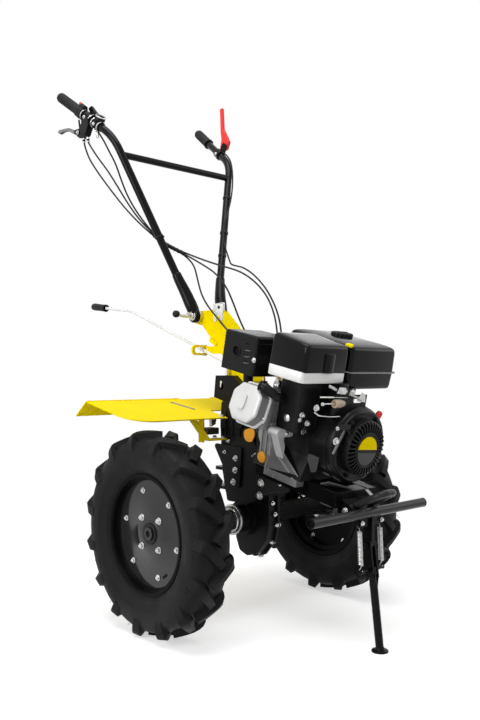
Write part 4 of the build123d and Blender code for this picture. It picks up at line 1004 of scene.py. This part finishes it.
def build_column():
    bolts = Shape()
    for side in (-1, 1):
        for y in (-58, -20):
            bolts.bolt(at(side * 60, y, 628), LEFT * side, 12, 6, washer=10, stud=4, turn=y)
        bolts.bolt(at(side * 38, 20, 740), LEFT * side, 12, 6, washer=10)
    piece("column_bolts", bolts)
    mark = at_x(at, -60.3, (54, 687), (61, 690), (65, 688), (65, 672), (61, 668), (59, 680))
    slab("base_slot", mark, RIGHT * 0.0008, "white_strip", slot="bright_steel", bevel=0.4)
    folds = Shape()
    for side in (-1, 1):
        folds.tube(at_x(at, side * 37.6, (205, 910), (140, 909), (12, 790), (-32, 694)), 1.7, 8)
    folds.tube([at(-30, 140, 911), at(30, 140, 911)], 2, 8)
    piece("column_folds", folds, "yellow_paint")
    tab = Shape().prism(at_x(at, -44, (30, 742), (60, 752), (66, 738), (40, 724)), RIGHT * 0.004)
    tab.prism(at_x(at, -40, (100, 806), (132, 826), (138, 812), (110, 796)), RIGHT * 0.003)
    piece("column_tabs", tab, "yellow_paint", bevel=1.2)
    guide = Shape().bolt(at(-41, 150, 785), FRONT, 10, 5, washer=8)
    guide.tube([at(-52, 146, 783), at(-52, 166, 789)], 6.4, 18)
    guide.prism(at_y(at, 152, (-58, 768), (-42, 768), (-36, 782), (-36, 796), (-54, 772)), FRONT * 0.0025)
    piece("guide_hardware", guide, bevel=0.3)
    profile = [(0, 12.2), (0, 13.4), (2, 13.8), (12, 12.8), (40, 12.6), (74, 13.4), (84, 12.4), (88.6, 9),
               (90, 4), (90.2, 0)]
    start, end = at(-52, 712, 950.9), at(-52, 800, 962)
    turned("gear_lever_handle", profile, start, end - start, 28, "grip_rubber", replaces=("gear_lever_grip",))


def build_controls():
    steel = Shape()
    for side, distance in ((-1, 168), (-1, 221), (1, 212)):
        place = grip_place(side, distance)
        along = (grip_place(side, 0) - place).normalized()
        out = along.cross(RIGHT).normalized()
        out = out if out.z < 0 else -out
        steel.bolts((place + out * 0.0175, out, 7, 4, 6), (place + RIGHT * 0.0165, RIGHT, 7, 3.5, 6))
    steel.bolts((at(-291, 514, 1505), RIGHT, 9, 3.5, 7), (at(-265, 514, 1505), LEFT, 9, 4, 7),
                (at(289, 426, 1551), LEFT, 9, 4, 7))
    piece("control_bolts", steel, "bright_steel", "handlebar")
    profile = [(8, 4.6), (9, 5.6), (14, 5.6), (15, 4.6), (20, 4.6), (21, 5.2), (24, 5.2), (25, 3.2), (25, 0)]
    bright = Shape()
    for place, down in (((-278, 499, 1494), (1, -2, -24)), ((-273, 482, 1494), (2, -1, -24)),
                        ((-263, 440, 1500), (1, -3, -24))):
        bright.lathe(profile, at(*place), down, 14)
    piece("cable_adjusters", bright, "bright_steel", "handlebar")
    above = Vector((0, -0.59, 0.81))
    along = grip_place(-1, 0) - grip_place(-1, 100)
    turned("switch_button", [(-6, 5.2), (5.4, 5.2), (7, 4), (7.4, 0)], grip_place(-1, 112) + above * 0.0235,
           along, 20, "red_plastic", "handlebar", bevel=0.5)
    turned("switch_ring", [(0, 20.1), (0.6, 20.8), (2.2, 20.8), (2.8, 20.1)], grip_place(-1, 128), along, 36,
           "engine_black", "handlebar")
    # bright steel bands on the left handle: partly real clamp collars, partly painted highlights on the
    # controls
    bands = Shape()
    for distance in (146, 188, 206, 238):
        bands.lathe([(0, 16.4), (0.5, 17.9), (4.4, 17.9), (4.9, 16.4)], grip_place(-1, distance), along, 32)
    piece("control_collars_and_highlights", bands, "bright_steel", "handlebar")
    place = grip_place(-1, 221) + above * 0.028
    drum = [(-12, 17.4), (0, 17.2), (1.4, 16.4), (1.8, 12), (3.8, 11.4), (4.4, 8), (4.4, 0)]
    turned("throttle_drum", drum, place, above, 32, "engine_black", "handlebar", bevel=0.3, segments=1)
    # bright steel ring on the black drum's top edge: painted highlight
    turned("throttle_drum_rim", [(-1.5, 17.5), (0.5, 17.7), (2.2, 16.6), (1.8, 15.2)], place, above, 40,
           "bright_steel", "handlebar", slot="silver_trim")
    blade = [(552, 1510), (592, 1530), (622, 1534), (646, 1531), (660, 1540), (652, 1546), (622, 1543),
             (589, 1539), (552, 1523)]
    slab("clutch_lever_blade", at_x(at, -283.2, *blade), LEFT * 0.0104, "dim_steel", "handlebar",
         slot="silver_trim", bevel=1.8, segments=3)


# ---------------------------------------------------------------- cables
UPPER = {"clutch": [(-277, 497, 1469.7), (-270, 490, 1428), (-246, 464, 1372), (-216, 427, 1308),
                    (-190, 387, 1249), (-164, 345, 1198), (-140, 303, 1156)],
         "reverse": [(-271, 481, 1469), (-256, 466, 1432), (-228, 429, 1372), (-203, 401, 1311),
                     (-181, 371, 1251), (-159, 337, 1199), (-134.5, 301, 1158)],
         "throttle": [(-262, 437, 1496), (-257, 418, 1472), (-247, 396, 1428), (-231, 380, 1386),
                      (-213, 375, 1334), (-193, 365, 1280), (-173, 343, 1230), (-154, 316, 1187),
                      (-137, 296, 1158)],
         "stop": [(261, 421, 1526), (255, 390, 1508), (247, 360, 1478), (239, 342, 1438), (229, 329, 1388),
                  (205, 310, 1330), (173, 292, 1272), (141, 283, 1212), (127, 262, 1158), (122, 236, 1112),
                  (108, 212, 1092)]}
WRAPPED = [(-122, 293, 1142), (-98, 270, 1120), (-60, 241, 1098)]
LOWER = {"throttle": [(-24, 172, 1070), (-3, 116, 1050), (24, 60, 1030), (47, 17, 994), (60, -20, 948),
                      (63, -47, 892), (56, -66, 834), (45, -81, 778), (32, -94, 728), (30.5, -97, 690.1)],
         "clutch": [(-36, 176, 1058), (-27, 124, 1027), (-14, 88, 982), (0, 72, 932), (12, 58, 882),
                    (17, 34, 838), (19, 0, 798), (21, -42, 762), (24, -92, 736), (24, -97, 690.1)],
         "reverse": [(-39, 217, 1062), (-47, 190, 1012), (-54, 162, 960), (-55, 126, 918), (-53, 76, 874),
                     (-51, 28, 832), (-47, -16, 796), (-40, -60, 762), (-33, -93, 732), (-32, -97, 690.1)],
         "stop": [(94, 188, 1072), (79, 142, 1061), (60, 92, 1050), (54, 42, 1026), (66, 3, 986),
                  (75, -27, 938), (76, -53, 886), (69, -71, 830), (57, -85, 776), (40, -94, 728),
                  (37, -97, 690.1)]}
STRAND = {"throttle": (0, 0, 3.4), "clutch": (2.8, 0, -1.8), "reverse": (-2.8, 0, -1.8)}
CABLE_RADIUS = 2.8
WRAP_RADIUS, WRAP_TURNS, WRAP_STEPS = 6.6, 13, 10


def smooth_line(name, points, resolution=10):
    """Points read from a NURBS spline whose control points are the route's own points."""
    curve = bpy.data.curves.new(name, "CURVE")
    curve.dimensions = "3D"
    curve.resolution_u = resolution
    spline = curve.splines.new("NURBS")
    spline.points.add(len(points) - 1)
    for knot, point in zip(spline.points, points):
        knot.co = (*at(*point), 1)
    spline.order_u = 3
    spline.use_endpoint_u = True
    guide = bpy.data.objects.new(name, curve)
    bpy.context.scene.collection.objects.link(guide)
    bpy.context.view_layer.update()
    mesh = bpy.data.meshes.new_from_object(guide)
    line = [v.co.copy() for v in mesh.vertices]
    bpy.data.objects.remove(guide)
    bpy.data.curves.remove(curve)
    bpy.data.meshes.remove(mesh)
    return line


def build_cables():
    for name, upper in UPPER.items():
        strand = STRAND.get(name)
        wrapped = [tuple(map(sum, zip(point, strand))) for point in WRAPPED] if strand else []
        route = upper + wrapped + LOWER[name]
        line = smooth_line(f"line_{name}", route)
        tube = Shape().tube(line, CABLE_RADIUS)
        item = piece(f"cable_{name}", tube, "cable_black", None, ("cables_upper", "cables_lower"))
        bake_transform(item)
    ends = Shape()
    for x in (30.5, 24, -32, 37):
        ends.lathe([(-2, 5), (6, 5), (6.6, 4.4), (12, 4.4), (12.6, 3.4), (20, 3.2)], at(x, -97, 690), UP, 16)
    ends.bolts((at(-43, -97, 676), RIGHT, 8, 4, 6), (at(43, -97, 676), LEFT, 8, 4, 6))
    piece("cable_ferrules", ends, "brass", slot="bright_steel")
    guide = smooth_line("line_wrap", [(-138, 302, 1158), *WRAPPED], 14)
    wrap = Shape().tube(guide, 6.2, 14)
    count, path = len(guide) - 1, []
    for i in range(WRAP_TURNS * WRAP_STEPS + 1):
        share = i / (WRAP_TURNS * WRAP_STEPS) * count
        low = min(int(share), count - 1)
        _, side, other = square_to(guide[low + 1] - guide[low])
        out = spoke(side, other, tau * i / WRAP_STEPS)
        path.append(guide[low].lerp(guide[low + 1], share - low) + out * WRAP_RADIUS * MM)
    wrap.tube(path, 1.3, 6)
    piece("cable_spiral_wrap", wrap, "cable_black", "handlebar", ("cable_wrap",))
    ties = Shape()
    tube_low = (87, 235, 1010)
    for height, side in ((1148, -1), (1112, 1), (1196, 1), (1330, 1)):
        share = (height - tube_low[2]) / (HANDLE_BEND[2] - tube_low[2])
        start, end = at(side * tube_low[0], *tube_low[1:]), at(side * HANDLE_BEND[0], *HANDLE_BEND[1:])
        place, along = start.lerp(end, share), (end - start).normalized()
        ties.lathe([(-3.5, 12.6), (-3.5, 14.4), (3.5, 14.4), (3.5, 12.6)], place, along, 32)
        ties.box(place + Vector((side * -0.004, -0.0145, 0)), LEFT * 0.004, FRONT * -0.003, along * 0.003)
    piece("cable_ties", ties, "cable_black", "handlebar", bevel=0.3)


# ---------------------------------------------------------------- studio
FLOOR_SIZE, FLOOR_TONE = 60, (0.80, 0.80, 0.80, 1)
FLOOR_GLOW = 0.55
FLOOR_FADE = (0.7, 1.5)         # metres from the middle, from floor to plain white
WORLD_LIGHT = 0.30
WHITE = (1, 1, 1, 1)
LAMP_AIM = Vector((0, -0.1, 0.6))
# name, place, size in metres and power in watts
LAMPS = (("top", (-0.8, -0.6, 4.2), 3.0, 105), ("left", (-4.0, 0.2, 1.9), 2.4, 80),
         ("right", (3.2, -2.6, 2.4), 2.2, 22))
CAMERA_PLACE = (-1617.24, -1724.71, 715.4)
CAMERA_TURN, CAMERA_RISE = radians(42.49), radians(0.91)
CAMERA_LENS, CAMERA_SENSOR = 38.86, 36


def background_rays(tree):
    """1 for camera, glossy and transmission rays, 0 for the rays that carry soft light."""
    seen = 0.0
    for kind in ("Is Camera Ray", "Is Glossy Ray", "Is Transmission Ray"):
        ray = add_node(tree, "LightPath", output=kind)
        seen = add_node(tree, "Math", {0: seen, 1: ray}, operation="MAXIMUM")
    return seen


def build_floor():
    bpy.ops.mesh.primitive_plane_add(size=FLOOR_SIZE, location=(0, 0, 0))
    floor = bpy.context.object
    floor.name = "studio_floor"
    mat = bpy.data.materials.new("studio_floor")
    mat.use_nodes = True
    tree = mat.node_tree
    shader = tree.nodes["Principled BSDF"]
    seen = background_rays(tree)
    glow = add_node(tree, "Math", {0: seen, 1: FLOOR_GLOW}, operation="MULTIPLY")
    set_inputs(tree, shader, {"Base Color": FLOOR_TONE, "Roughness": 0.9, "Specular IOR Level": 0.0,
                              "Emission Color": WHITE, "Emission Strength": glow})
    place = add_node(tree, "TexCoord", output="Object")
    far = add_node(tree, "VectorMath", {0: place}, "Value", operation="LENGTH")
    fade = add_range(tree, far, *FLOOR_FADE, 0.0, 1.0, interpolation_type="SMOOTHSTEP")
    share = add_node(tree, "Math", {0: fade, 1: seen}, operation="MULTIPLY")
    join = add_node(tree, "MixShader", {0: share, 1: shader.outputs[0], 2: add_node(tree, "Emission")})
    set_inputs(tree, tree.nodes["Material Output"], {"Surface": join})
    floor.data.materials.append(mat)


def build_world():
    world = bpy.data.worlds.new("studio")
    bpy.context.scene.world = world
    world.use_nodes = True
    tree = world.node_tree
    level = add_range(tree, background_rays(tree), 0.0, 1.0, WORLD_LIGHT, 1.0)
    set_inputs(tree, tree.nodes["Background"], {"Color": WHITE, "Strength": level})


def add_object(name, data, place, look):
    """Lamp or camera at a place in metres, facing along a direction."""
    item = bpy.data.objects.new(name, data)
    item.location = place
    item.rotation_euler = look.to_track_quat("-Z", "Y").to_euler()
    bpy.context.scene.collection.objects.link(item)
    return item


def build_studio():
    bpy.context.scene.view_settings.view_transform = "Standard"
    build_floor()
    build_world()
    for name, place, size, power in LAMPS:
        data = bpy.data.lights.new(name, "AREA")
        data.shape, data.size, data.energy = "DISK", size, power
        add_object(name, data, place, LAMP_AIM - Vector(place))


def build_camera():
    data = bpy.data.cameras.new("photo_camera")
    data.lens, data.sensor_width = CAMERA_LENS, CAMERA_SENSOR
    flat = cos(CAMERA_RISE)
    look = Vector((sin(CAMERA_TURN) * flat, cos(CAMERA_TURN) * flat, sin(CAMERA_RISE)))
    bpy.context.scene.camera = add_object("photo_camera", data, at(*CAMERA_PLACE), look)


paint_nodes()
for job in (build_camera, build_wheels, build_valve_cover, build_cylinder, build_recoil, build_shroud_trim,
            build_tank, build_air_cleaner, build_muffler, build_ignition, build_linkage, build_case_trim,
            build_gearbox_trim, build_frame_trim, build_stand, build_fenders, build_grips, build_sleeves,
            build_pivot, build_column, build_controls, build_cables, build_studio):
    job()
